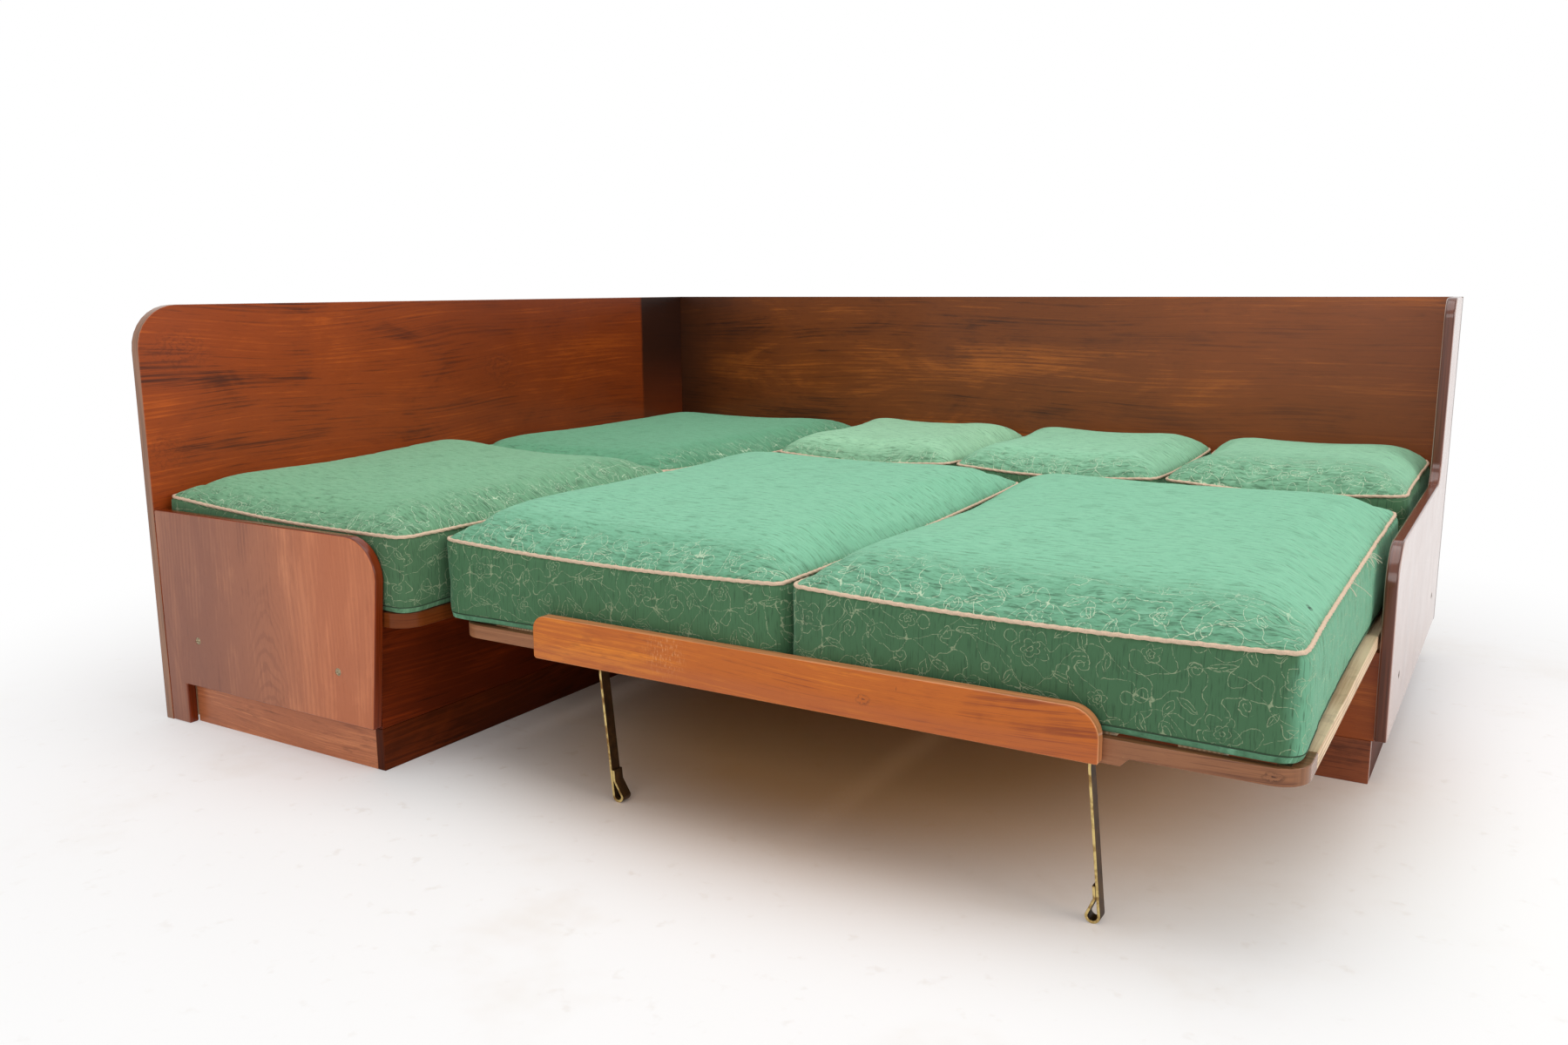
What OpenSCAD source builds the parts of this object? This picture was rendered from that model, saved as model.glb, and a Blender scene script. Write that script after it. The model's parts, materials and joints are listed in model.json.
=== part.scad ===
/* [Overall] */
// Inside width between the left back panel and the right arm panel
inner_w = 2208; // [2000:1:2500]
// Inside depth from the front edge of the left wing to the rear back panel
inner_d = 1856; // [1800:1:2050]
// Height of the back panels
back_h = 860; // [760:1:950]
// Height of the arm panels
arm_h = 448; // [430:1:520]
// Thickness of the back and arm panels
board_t = 22; // [18:1:26]
// Gap between pieces that rest on or stand beside each other
seat_gap = 0.3; // [0.2:0.1:1]
// Running gap between the pull-out and the fixed base
run_gap = 2; // [1:0.5:4]

/* [Left wing] */
// Reach of the left arm panel at its widest point
left_arm_w = 646; // [600:1:700]
// How far the end of each arm panel draws back towards its bottom
arm_taper = 30; // [10:1:60]
// Radius of the upper corner of each arm panel
arm_corner_r = 75; // [40:1:110]
// How far the deck reaches past the left arm panel
deck_reach = 45; // [30:1:70]
// Thickness of the deck
deck_t = 28; // [20:1:34]
// Height of the deck's top above the floor
deck_top = 309; // [290:1:340]
// Plan radius of the deck's free corner
deck_corner_r = 48; // [30:1:90]

/* [Base] */
// Height of the plinth boards
plinth_h = 82; // [60:1:100]
// Thickness of the plinth boards
plinth_t = 20; // [16:1:26]
// Height of the panels' lower edges above the floor
panel_clear = 86; // [70:1:110]
// Width of the panel foot under the left wing's front corner
foot_w = 57; // [40:1:80]
// Thickness of the storage box boards
box_t = 22; // [16:1:26]
// Thickness of the storage box floors
box_floor_t = 16; // [10:1:20]
// Outside depth of the right storage box
right_box_d = 978; // [940:1:1000]
// Width and height of the ledgers and battens
batten = 22; // [18:1:28]

/* [Arms and backs] */
// Depth of the right arm panel at its top
right_arm_d = 1021; // [990:1:1080]
// Depth of the right arm panel's tall rear part
tall_d = 203; // [140:1:260]
// Radius between the arm top and the tall rear part
arm_fillet_r = 48; // [20:1:80]
// Radius of the free top corners of the back panels
back_corner_r = 90; // [40:1:120]
// Radius of the tall rear part's top corner
tall_corner_r = 45; // [20:1:70]

/* [Pull-out frame] */
// Travel of the pull-out
travel = 620; // [400:1:620]
// Depth of the pull-out frame
pull_d = 1032; // [1010:1:1050]
// Height of the pull-out rails
rail_h = 25; // [20:1:42]
// Thickness of the pull-out side and rear rails
rail_t = 22; // [16:1:26]
// Height of the pull-out rear rail
rear_rail_h = 40; // [24:1:42]
// Thickness of the pull-out front rail
front_rail_t = 18; // [15:1:22]
// Plan radius of the front rail's corners
rail_corner_r = 45; // [10:1:52]
// Depth of the front rail's ends, which turn back to meet the side rails
rail_return = 88; // [70:1:110]
// Depth of the front rail's lower middle stretch below its ends
rail_drop = 12; // [4:1:18]
// Gap between the deck's edge and the pull-out
pull_left_gap = 46; // [30:1:60]
// Gap between the pull-out and the right arm panel
pull_right_gap = 4; // [2:1:10]

/* [Slats] */
// Height of the fixed slats' tops above the floor
platform_top = 287; // [280:1:330]
// Number of slats on the pull-out
slat_n = 9; // [5:1:10]
// Width of a slat
slat_w = 60; // [40:1:64]
// Thickness of a fixed slat
slat_t = 12; // [10:1:18]
// Thickness of the bearer under the fixed slats
bearer_t = 30; // [20:1:40]
// Height of the bearer and the rear ledger
bearer_h = 46; // [34:1:60]

/* [Front board] */
// Length of the front board
front_board_w = 1006; // [800:1:1200]
// Distance from the front board to the pull-out's left end
front_board_x = 201; // [120:1:260]
// Height of the front board
front_board_h = 78; // [60:1:90]
// Thickness of the front board
front_board_t = 22; // [18:1:26]
// Height of the front board's lower edge above the floor
front_board_z = 252; // [240:1:262]
// Radius of the front board's upper left corner
front_board_r1 = 26; // [12:1:40]
// Radius of the front board's upper right corner
front_board_r2 = 44; // [12:1:55]

/* [Legs] */
// Distance from the left leg to the pull-out's left end
left_leg_x = 316; // [240:1:420]
// Distance from the right leg to the pull-out's right end
right_leg_x = 283; // [200:1:420]
// Width of the leg strap
strap_w = 22; // [16:1:24]
// Thickness of the leg strap
strap_t = 4.5; // [3:0.5:6]
// How far each leg leans sideways at its foot
leg_lean = 22; // [0:1:30]
// Width of the foot loop
loop_w = 23; // [20:1:30]
// Height where the foot loop's free arm meets the strap
loop_close = 38; // [30:1:44]
// Height of the foot loop's free end
loop_h = 57; // [48:1:70]
// Diameter of the leg pins
leg_pin_d = 8; // [6:0.5:10]
// Diameter clearance of the legs on their pins
pin_clearance = 0.12; // [0.06:0.02:0.18]

/* [Cushions] */
// Height of the left wing cushions at their front edge
left_cush_h = 142; // [120:1:170]
// Height of the left wing cushions at their rear edge
left_cush_rear_h = 160; // [120:1:180]
// How much higher the left front cushion is along the left back panel
left_cush_rise = 24; // [0:1:30]
// Height of the seat cushions at their front edge
seat_cush_h = 149; // [120:1:160]
// Height of the seat cushions at their rear edge
seat_cush_rear_h = 169; // [120:1:176]
// Height of the back cushions at their front edge
back_cush_h = 177; // [140:1:180]
// Height of the back cushions at their rear edge
back_cush_rear_h = 186; // [140:1:188]
// Crown of a seat cushion's top above its edges
crown = 50; // [10:1:52]
// Crown of a left wing cushion's top above its edges
left_crown = 36; // [10:1:50]
// Crown of a back cushion's top above its edges
back_crown = 40; // [10:1:42]
// How far a cushion's sides pull in between its corners
pull_in = 9; // [2:1:16]
// How far a cushion's top edge dips between its corners
edge_dip = 11; // [0:1:16]
// Plan radius of the cushions' corners
cush_corner_r = 30; // [26:1:50]
// Plan radius of the back cushions' corners
back_cush_corner_r = 40; // [36:1:50]
// Radius of the cushions' lower edges
cush_edge_r = 14; // [8:1:34]
// Radius of the back cushions' lower edges
back_cush_edge_r = 38; // [30:1:45]
// Depth of the left front cushion
left_cush_d = 815; // [760:1:860]
// How far the left rear cushion stops short of the deck's edge
corner_cush_set = 2.5; // [0:0.5:20]
// Overhang of the left front cushion past the deck
cush_overhang = 5; // [0:1:18]
// Gap between the left front cushion and the left seat cushion
wing_gap = 1; // [0.5:0.5:5]
// Depth of the seat cushions
seat_cush_d = 1051; // [1010:1:1060]
// Width of the left seat cushion
seat_cush_w = 738; // [690:1:780]
// Gap between cushions that lie side by side
cush_gap = 3; // [2:1:10]
// Depth of the back cushions
back_cush_d = 563; // [540:1:566]
// Gap in front of the back cushions that lets them tip up
tilt_gap = 132; // [129:1:160]

/* [Fasteners] */
// Diameter of the panel screws' heads
head_d = 15; // [10:1:18]
// Height of the panel screws' heads
head_h = 3; // [2:0.5:5]
// Diameter of the screws' shanks
shank_d = 6; // [4:0.5:8]
// Length of the panel screws
screw_l = 38; // [30:1:42]
// Height of the left arm's screws above the floor
left_screw_z = 186; // [120:1:230]
// Height of the right arm's screws above the floor
right_screw_z = 178; // [120:1:230]
// Clearance round a screw in its hole
screw_clear = 0.1; // [0.06:0.02:0.2]

/* [Hidden] */

$fn = 48;
mid_x = inner_w / 2;
mid_y = (inner_d + board_t) / 2;
arc_steps = 8;

// Overrun of a cut past the face that it opens
overrun = 1;

// Heights of the slatted platforms
slat_proud = 1;
fixed_z = platform_top - slat_t;
pull_slat_z = fixed_z - run_gap;
pull_slat_top = platform_top + slat_proud;
cush_z = pull_slat_top + seat_gap;
bearer_z = fixed_z - bearer_h;
rail_top = platform_top - run_gap;
rail_z = rail_top - rail_h;
runner_gap = 0.5;
runner_top = rail_z - runner_gap;

// Places of the boxes
deck_w = left_arm_w + deck_reach;
box_x = left_arm_w - arm_taper;
box_y = inner_d - right_box_d;
deck_z = deck_top - deck_t;

// Places of the cushions, front to back
wall_gap = 0.5;
back_cush_y = inner_d - wall_gap - back_cush_d;
seat_cush_y = back_cush_y - tilt_gap - seat_cush_d;

// Places of the pull-out
pull_x = deck_w + pull_left_gap;
pull_x2 = inner_w - pull_right_gap;
cush_inset = 1;
pull_y = seat_cush_y - cush_inset;
pull_y2 = pull_y + pull_d;
inner_x = pull_x + rail_t;
inner_x2 = pull_x2 - rail_t;
rear_rail_y = pull_y2 - rail_t;
bearer_y2 = rear_rail_y - seat_gap;
ledger_y = inner_d - batten;
front_bottom = rail_z - rail_drop;
rear_rail_z = pull_slat_z - rear_rail_h;

// Slats of the two platforms lie between each other
slat_edge = 8;
slat_inset = 10;
slat_x = inner_x + slat_edge + slat_w / 2;
slat_pitch = (inner_x2 - inner_x - 2 * slat_edge - slat_w) / slat_n;
slat_front = box_y + slat_inset;

// Pivots of the legs
leg_z = pull_slat_z - run_gap - strap_w / 2;
strap_gap = 1;
leg_y = pull_y + front_rail_t + strap_gap + strap_w / 2;
straight_l = 9;
bracket_t = 3;
bracket_w = 30;
leg_bay = 40;

// Screws of the arm panels
head_inset = 0.5;
left_screws = [110, 530];
right_screws = [150, 856];

// Cut at the front board's lower left corner
front_board_cut = 4;

// Dowels between the front board and its rail
dowel_n = 5;
dowel_d = 8;
dowel_l = 26;
dowel_z = (front_board_z + rail_top) / 2;

// Heads of the leg pins
pin_head_rim = 2.5;
pin_head_d = leg_pin_d + 2 * pin_head_rim;
pin_head_t = 2;

// Cushions across the room
side_gap = 10;
seat_cush_x = deck_w + cush_overhang + wing_gap;
cush_x2 = inner_w - side_gap;
corner_cush_w = deck_w - corner_cush_set - wall_gap;
back_cush_x = wall_gap + corner_cush_w + cush_gap;
back_cush_w = (cush_x2 - back_cush_x - 2 * cush_gap) / 3;

function arc_pts(cx, cy, r, a0, a1) =
    [for (i = [0:arc_steps]) let (a = a0 + (a1 - a0) * i / arc_steps)
        [cx + r * cos(a), cy + r * sin(a)]];

// Rounding under a cushion's top edge
top_inset = 5;
lip_inset = 1;
lip_h = 12;

// Rim of a cushion: place, outward normal and a weight that is 1 at the middle of a side
rim_arc = 4;
rim_side = 9;
function rim_corner(w, d, r, c) =
    [(c == 0 || c == 3) ? w - r : r, (c < 2) ? d - r : r];
function rim(w, d, r) = [for (c = [0:3])
    let (p = rim_corner(w, d, r, c), q = rim_corner(w, d, r, (c + 1) % 4),
        n = [cos(90 * c + 90), sin(90 * c + 90)])
    each concat(
        [for (j = [0:rim_arc - 1]) let (a = 90 * c + 90 * j / (rim_arc - 1))
            [p.x + r * cos(a), p.y + r * sin(a), cos(a), sin(a), 0]],
        [for (j = [1:rim_side]) let (s = j / (rim_side + 1), t = 2 * s - 1)
            [p.x + (q.x - p.x) * s + r * n.x, p.y + (q.y - p.y) * s + r * n.y,
                n.x, n.y, 1 - t * t]])];

// Edge height at a place in plan, from the front height, the rear height and the rise to the left
function edge_h(p, size, h) = h[0] + (h[1] - h[0]) * p.y / size.y + h[2] * (1 - p.x / size.x);

// One level of the cushion's side: an inset from the rim at a share of its height
function side_ring(pts, size, h, inset, z, pull, dip) =
    [for (p = pts) let (k = edge_h(p, size, h) / h[0], in = inset + pull * p[4])
        [p.x - p[2] * in, p.y - p[3] * in, (z - dip * p[4] * z / h[0]) * k]];

// One level of the crown: the top ring drawn towards the middle and raised on a full dome
dome_power = 8;
function dome(p, w, d) = (1 - pow(abs(2 * p.x / w - 1), dome_power))
    * (1 - pow(abs(2 * p.y / d - 1), dome_power));
function crown_ring(top, c, h, rise, f) =
    [for (p = top) let (q = [p.x + (c.x - p.x) * f, p.y + (c.y - p.y) * f])
        [q.x, q.y, h + (p.z - h) * pow(1 - f, 1.5) + rise * dome(q, 2 * c.x, 2 * c.y)]];

module cushion_form(size, h, rise, edge_r = cush_edge_r, corner_r = cush_corner_r,
        pull = pull_in, dip = edge_dip) {
    pts = rim(size.x, size.y, corner_r);
    n = len(pts);
    top = side_ring(pts, size, h, top_inset, h[0], pull, dip);
    c = size / 2;
    mid_h = edge_h(c, size, h);
    rings = concat(
        [for (a = [0, 30, 60, 90])
            side_ring(pts, size, h, edge_r * (1 - sin(a)), edge_r * (1 - cos(a)), pull, dip)],
        [side_ring(pts, size, h, lip_inset, h[0] - lip_h, pull, dip), top],
        [for (f = [0.06, 0.16, 0.32, 0.6]) crown_ring(top, c, mid_h, rise, f)]);
    m = len(rings);
    verts = concat([for (r = rings) each r], [[c.x, c.y, 0], [c.x, c.y, mid_h + rise]]);
    sides = [for (i = [0:m - 2], j = [0:n - 1])
        let (a = i * n + j, b = i * n + (j + 1) % n, e = a + n, g = b + n)
        each [[a, g, b], [a, e, g]]];
    floor_fan = [for (j = [0:n - 1]) [m * n, j, (j + 1) % n]];
    top_fan = [for (j = [0:n - 1]) [m * n + 1, (m - 1) * n + (j + 1) % n, (m - 1) * n + j]];
    polyhedron(verts, concat(sides, floor_fan, top_fan), convexity = 4);
}

// Moves the room frame, which starts at the left wing's front corner, to the object's middle
module place() {
    translate([-mid_x, -mid_y, 0]) children();
}

module board(x0, x1, y0, y1, z0, z1) {
    translate([x0, y0, z0]) cube([x1 - x0, y1 - y0, z1 - z0]);
}

// Extrudes an outline drawn in X and Z along Y, from y0 towards the back
module upright_x(y0, t) {
    translate([0, y0 + t, 0]) rotate([90, 0, 0]) linear_extrude(t) children();
}

// Extrudes an outline drawn in Y and Z along X, from x0 to the right
module upright_y(x0, t) {
    translate([x0, 0, 0]) rotate([90, 0, 90]) linear_extrude(t) children();
}

module screw(l, d, hd, hh) {
    cylinder(d = hd, h = hh);
    cylinder(d = d, h = l);
}

// A screw's clearance hole with its counterbore, open at the face
module screw_hole(l, d, hd, hh) {
    translate([0, 0, -overrun]) cylinder(d = hd + screw_clear, h = hh + overrun);
    cylinder(d = d + screw_clear, h = l + screw_clear);
}

module at_left_screws() {
    for (x = left_screws) translate([x, head_inset, left_screw_z]) rotate([-90, 0, 0]) children();
}

module at_right_screws() {
    for (y = right_screws)
        translate([inner_w + board_t - head_inset, inner_d - y, right_screw_z])
            rotate([0, -90, 0]) children();
}

module panel_hole() {
    translate([0, 0, -head_inset]) screw_hole(screw_l + head_inset, shank_d, head_d,
        head_h + head_inset);
}

module left_back_panel() color("saddlebrown") place() {
    upright_y(-board_t, board_t) polygon(concat(
        [[0, 0], [foot_w, 0], [foot_w, panel_clear], [inner_d - foot_w, panel_clear],
            [inner_d - foot_w, 0], [inner_d, 0], [inner_d, back_h]],
        arc_pts(back_corner_r, back_h - back_corner_r, back_corner_r, 90, 180)));
}

module rear_back_panel() color("sienna") place() {
    board(-board_t, inner_w + board_t, inner_d, inner_d + board_t, panel_clear, back_h);
}

module left_arm_panel() color("peru") place() {
    difference() {
        upright_x(0, board_t) polygon(concat(
            [[0, 0], [foot_w, 0], [foot_w, panel_clear], [box_x, panel_clear]],
            arc_pts(left_arm_w - arm_corner_r, arm_h - arm_corner_r, arm_corner_r, 0, 90),
            [[0, arm_h]]));
        at_left_screws() panel_hole();
    }
}

module right_arm_panel() color("peru") place() {
    y0 = inner_d - right_arm_d;
    yt = inner_d - tall_d;
    difference() {
        upright_y(inner_w, board_t) polygon(concat(
            [[y0 + arm_taper, panel_clear], [inner_d, panel_clear], [inner_d, back_h]],
            arc_pts(yt + tall_corner_r, back_h - tall_corner_r, tall_corner_r, 90, 180),
            arc_pts(yt - arm_fillet_r, arm_h + arm_fillet_r, arm_fillet_r, 0, -90),
            arc_pts(y0 + arm_corner_r, arm_h - arm_corner_r, arm_corner_r, 90, 180)));
        at_right_screws() panel_hole();
    }
}

module left_plinth_front() color("saddlebrown") place()
    board(foot_w, box_x - plinth_t, board_t, board_t + plinth_t, 0, plinth_h);

module left_plinth_side() color("saddlebrown") place()
    board(box_x - plinth_t, box_x, board_t, inner_d - plinth_t, 0, plinth_h);

module left_plinth_back() color("burlywood") place()
    board(0, plinth_t, board_t + plinth_t, inner_d - plinth_t, 0, plinth_h);

module right_plinth_front() color("saddlebrown") place()
    board(box_x, pull_x2, box_y, box_y + plinth_t, 0, plinth_h);

module right_plinth_end() color("burlywood") place()
    board(pull_x2 - plinth_t, pull_x2, box_y + plinth_t, inner_d - plinth_t, 0, plinth_h);

module rear_plinth() color("burlywood") place()
    board(foot_w, pull_x2, inner_d - plinth_t, inner_d, 0, plinth_h);

module left_box_front() color("sienna") place() difference() {
    board(0, box_x - box_t, board_t, board_t + box_t, plinth_h, deck_z);
    at_left_screws() panel_hole();
}

module left_box_side() color("chocolate") place()
    board(box_x - box_t, box_x, board_t, inner_d, plinth_h, deck_z);

module left_box_floor() color("burlywood") place()
    board(0, box_x - box_t, board_t + box_t, inner_d, plinth_h, plinth_h + box_floor_t);

module deck_ledger() color("burlywood") place()
    board(0, batten, board_t + box_t, inner_d, deck_z - batten, deck_z);

module deck_battens() color("burlywood") place()
    for (f = [1:3]) let (y = inner_d * f / 4)
        board(batten, box_x - box_t, y, y + batten, deck_z - batten, deck_z);

module left_deck() color("sienna") place() {
    y0 = board_t + run_gap;
    y1 = inner_d - seat_gap;
    r = deck_corner_r;
    translate([0, 0, deck_z]) linear_extrude(deck_t) polygon(concat(
        [[seat_gap, y1], [seat_gap, y0]], arc_pts(deck_w - r, y0 + r, r, 270, 360),
        [[deck_w, y1]]));
}

module corner_block() color("burlywood") place()
    board(0, 2 * batten, inner_d - 2 * batten, inner_d, plinth_h + box_floor_t,
        deck_z - batten);

module right_box_front() color("chocolate") place()
    board(box_x, inner_w, box_y, box_y + box_t, plinth_h, leg_z - strap_w / 2 - run_gap);

module right_box_end() color("burlywood") place() difference() {
    board(inner_w - box_t, inner_w, box_y + box_t, inner_d, plinth_h, runner_top);
    at_right_screws() panel_hole();
}

module right_box_floor() color("burlywood") place()
    board(box_x, inner_w - box_t, box_y + box_t, inner_d, plinth_h, plinth_h + box_floor_t);

// Board under the left rail, which the rail slides along
module runner_board() color("burlywood") place()
    board(pull_x, inner_x, box_y + box_t, inner_d, plinth_h + box_floor_t, runner_top);

module box_dividers() color("burlywood") place()
    for (f = [1, 2]) let (x = inner_x + (inner_x2 - inner_x) * f / 3)
        board(x, x + box_t, box_y + box_t, inner_d, plinth_h + box_floor_t, bearer_z);

// Cross bearer with a notch under each pull-out slat
module slat_bearer() color("burlywood") place() difference() {
    board(inner_x, inner_w - box_t, bearer_y2 - bearer_t, bearer_y2, bearer_z, fixed_z);
    for (i = [0:slat_n - 1]) let (x = slat_x + (i + 0.5) * slat_pitch)
        board(x - slat_w / 2 - run_gap, x + slat_w / 2 + run_gap,
            bearer_y2 - bearer_t - overrun, bearer_y2 + overrun, pull_slat_z - run_gap,
            fixed_z + overrun);
    board(inner_x2 - run_gap, inner_w, bearer_y2 - bearer_t - overrun, bearer_y2 + overrun,
        runner_top, fixed_z + overrun);
}

module rear_ledger() color("burlywood") place()
    board(inner_x, inner_x2, ledger_y, inner_d, bearer_z, fixed_z);

module stop_blocks() color("tan") place()
    for (x = [inner_x + 3 * batten, inner_x2 - 4 * batten])
        board(x, x + batten, pull_y2 + travel + seat_gap, ledger_y,
            bearer_z + batten / 2, bearer_z + 3 * batten / 2);

module fixed_slats() color("wheat") place()
    for (i = [0:slat_n]) let (x = slat_x + i * slat_pitch)
        board(x - slat_w / 2, x + slat_w / 2, slat_front, inner_d - seat_gap, fixed_z,
            platform_top);

module left_arm_screws() color("darkgoldenrod") place()
    at_left_screws() screw(screw_l, shank_d, head_d, head_h);

module right_arm_screws() color("darkgoldenrod") place()
    at_right_screws() screw(screw_l, shank_d, head_d, head_h);

module left_front_cushion() color("seagreen") place()
    translate([wall_gap, board_t + run_gap, deck_top + seat_gap])
        cushion_form([deck_w + cush_overhang - wall_gap, left_cush_d],
            [left_cush_h, left_cush_rear_h, left_cush_rise], left_crown);

module left_rear_cushion() color("mediumseagreen") place()
    let (y = board_t + run_gap + left_cush_d + cush_gap)
        translate([wall_gap, y, deck_top + seat_gap])
            cushion_form([corner_cush_w, inner_d - wall_gap - y],
                [left_cush_rear_h, left_cush_rear_h, 0], left_crown);

module pullout_front_rail() color("sienna") place() difference() {
    front_rail_body();
    dowel_holes();
}

module front_rail_body() {
    r = rail_corner_r;
    y1 = pull_y + front_rail_t;
    y2 = pull_y + rail_return;
    translate([0, 0, rail_z]) linear_extrude(rail_h) polygon(concat(
        arc_pts(pull_x + r, pull_y + r, r, 180, 270),
        arc_pts(pull_x2 - r, pull_y + r, r, 270, 360),
        [[pull_x2, y2], [inner_x2, y2], [inner_x2, y1], [inner_x, y1], [inner_x, y2],
            [pull_x, y2]]));
    x0 = pull_x + front_board_x - rail_drop;
    x1 = x0 + front_board_w + 4 * rail_drop;
    upright_x(pull_y, front_rail_t) polygon([[x0, rail_z + overrun], [x0, rail_z],
        [x0 + rail_drop, front_bottom], [x1 - rail_drop, front_bottom], [x1, rail_z],
        [x1, rail_z + overrun]]);
}

module side_rail(x0)
    board(x0, x0 + rail_t, pull_y + rail_return, pull_y2, rail_z, rail_top);

module pullout_left_rail() color("wheat") place() side_rail(pull_x);

module pullout_right_rail() color("wheat") place() side_rail(inner_x2);

module pullout_rear_rail() color("wheat") place()
    board(inner_x, inner_x2, rear_rail_y, pull_y2, rear_rail_z, pull_slat_z);

module pullout_slats() color("wheat") place()
    for (i = [0:slat_n - 1]) let (x = slat_x + (i + 0.5) * slat_pitch)
        board(x - slat_w / 2, x + slat_w / 2, pull_y + front_rail_t, pull_y2, pull_slat_z,
            pull_slat_top);

// Ledgers behind the front rail carry the slats, with a bay for each leg
module pullout_ledgers() color("burlywood") place() {
    xs = [inner_x + batten, pull_x + left_leg_x - leg_bay, pull_x + left_leg_x + leg_bay,
        pull_x2 - right_leg_x - leg_bay, pull_x2 - right_leg_x + leg_bay, inner_x2 - batten];
    for (i = [0, 2, 4])
        board(xs[i], xs[i + 1], pull_y + front_rail_t, pull_y + front_rail_t + batten,
            rail_z, pull_slat_z);
}

// Blocks inside the front corners span the joints between the front and side rails
module pullout_corner_blocks() color("burlywood") place()
    for (x = [inner_x, inner_x2 - batten])
        board(x, x + batten, pull_y + front_rail_t, pull_y + rail_return + 2 * batten,
            rail_z, pull_slat_z);

module dowel_holes() {
    for (i = [0:dowel_n - 1])
        translate([pull_x + front_board_x + front_board_w * (i + 0.5) / dowel_n,
            pull_y - dowel_l / 2 - seat_gap, dowel_z])
            rotate([-90, 0, 0]) cylinder(d = dowel_d + screw_clear, h = dowel_l + 2 * seat_gap);
}

module front_board_dowels() color("wheat") place()
    for (i = [0:dowel_n - 1])
        translate([pull_x + front_board_x + front_board_w * (i + 0.5) / dowel_n,
            pull_y - dowel_l / 2, dowel_z])
            rotate([-90, 0, 0]) cylinder(d = dowel_d, h = dowel_l);

module front_board() color("chocolate") place() {
    x0 = pull_x + front_board_x;
    x1 = x0 + front_board_w;
    z1 = front_board_z + front_board_h;
    difference() {
        upright_x(pull_y - front_board_t, front_board_t) polygon(concat(
            [[x0 + front_board_cut, front_board_z], [x1, front_board_z]],
            arc_pts(x1 - front_board_r2, z1 - front_board_r2, front_board_r2, 0, 90),
            arc_pts(x0 + front_board_r1, z1 - front_board_r1, front_board_r1, 90, 180),
            [[x0, front_board_z + front_board_cut]]));
        dowel_holes();
    }
}

// Angle bracket behind the front rail: a base plate and an ear beside the strap
module leg_bracket(x, side) {
    ear = strap_t / 2 + seat_gap;
    y0 = pull_y + front_rail_t;
    z0 = leg_z - strap_w / 2;
    z1 = leg_z + strap_w / 2;
    difference() {
        translate([x, 0, 0]) mirror([side < 0 ? 1 : 0, 0, 0]) {
            board(ear, ear + bracket_w, y0, y0 + bracket_t, z0, z1);
            board(ear, ear + bracket_t, y0, leg_y + strap_w / 2, z0, z1);
        }
        translate([x + side * (ear + bracket_t / 2), leg_y, leg_z]) rotate([0, 90, 0])
            cylinder(d = leg_pin_d + screw_clear, h = bracket_t + 2 * overrun, center = true);
    }
}

// Rivet through the ear and the strap, with a head on each end
module leg_pin(x, side) {
    ear = strap_t / 2 + seat_gap + bracket_t;
    translate([x, leg_y, leg_z]) mirror([side < 0 ? 1 : 0, 0, 0]) rotate([0, 90, 0]) {
        translate([0, 0, -strap_t / 2 - seat_gap]) cylinder(d = leg_pin_d,
            h = strap_t / 2 + seat_gap + ear);
        translate([0, 0, ear]) cylinder(d = pin_head_d, h = pin_head_t);
        translate([0, 0, -strap_t / 2 - seat_gap - pin_head_t])
            cylinder(d = pin_head_d, h = pin_head_t);
    }
}

// Flat strap that hangs from its pivot, leans sideways and curls into a foot loop
module leg(x, curl) {
    r = loop_w / 2;
    t = strap_t;
    kink = leg_z - strap_w - straight_l;
    cx = leg_lean + curl * (r - t / 2);
    arm = cx + curl * (r - t / 2);
    free = [[arm, r], for (z = [loop_close, loop_h])
        [leg_lean * (kink - z) / (kink - r) + curl * (t + seat_gap), z]];
    difference() {
        translate([x, 0, 0]) {
            upright_x(leg_y - strap_w / 2, strap_w) {
                polygon([[-t / 2, leg_z], [-t / 2, kink], [leg_lean - t / 2, r],
                    [leg_lean + t / 2, r], [t / 2, kink], [t / 2, leg_z]]);
                translate([cx, r]) difference() {
                    circle(r);
                    circle(r - t);
                    translate([-r, 0]) square([2 * r, r]);
                }
                polygon(concat([for (p = free) p - [t / 2, 0]],
                    [for (i = [2, 1, 0]) free[i] + [t / 2, 0]]));
            }
            translate([-t / 2, leg_y, leg_z]) rotate([0, 90, 0])
                cylinder(d = strap_w, h = t);
        }
        translate([x, leg_y, leg_z]) rotate([0, 90, 0])
            cylinder(d = leg_pin_d + pin_clearance, h = t + 2 * overrun, center = true);
    }
}

module leg_brackets() color("dimgray") place() {
    leg_bracket(pull_x + left_leg_x, -1);
    leg_bracket(pull_x2 - right_leg_x, 1);
}

module leg_pins() color("gray") place() {
    leg_pin(pull_x + left_leg_x, -1);
    leg_pin(pull_x2 - right_leg_x, 1);
}

module left_leg() color("darkkhaki") place() leg(pull_x + left_leg_x, 1);

module right_leg() color("darkkhaki") place() leg(pull_x2 - right_leg_x, -1);

module seat_cushion(x0, w)
    translate([x0, seat_cush_y, cush_z])
        cushion_form([w, seat_cush_d], [seat_cush_h, seat_cush_rear_h, 0], crown);

module seat_cushion_left() color("mediumseagreen") place()
    seat_cushion(seat_cush_x, seat_cush_w);

module seat_cushion_right() color("mediumseagreen") place()
    let (x = seat_cush_x + seat_cush_w + cush_gap) seat_cushion(x, cush_x2 - x);

module back_cushion(i)
    translate([back_cush_x + i * (back_cush_w + cush_gap), back_cush_y,
        platform_top + seat_gap])
        cushion_form([back_cush_w, back_cush_d], [back_cush_h, back_cush_rear_h, 0], back_crown,
            back_cush_edge_r, back_cush_corner_r);

module back_cushion_left() color("darkseagreen") place() back_cushion(0);

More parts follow.
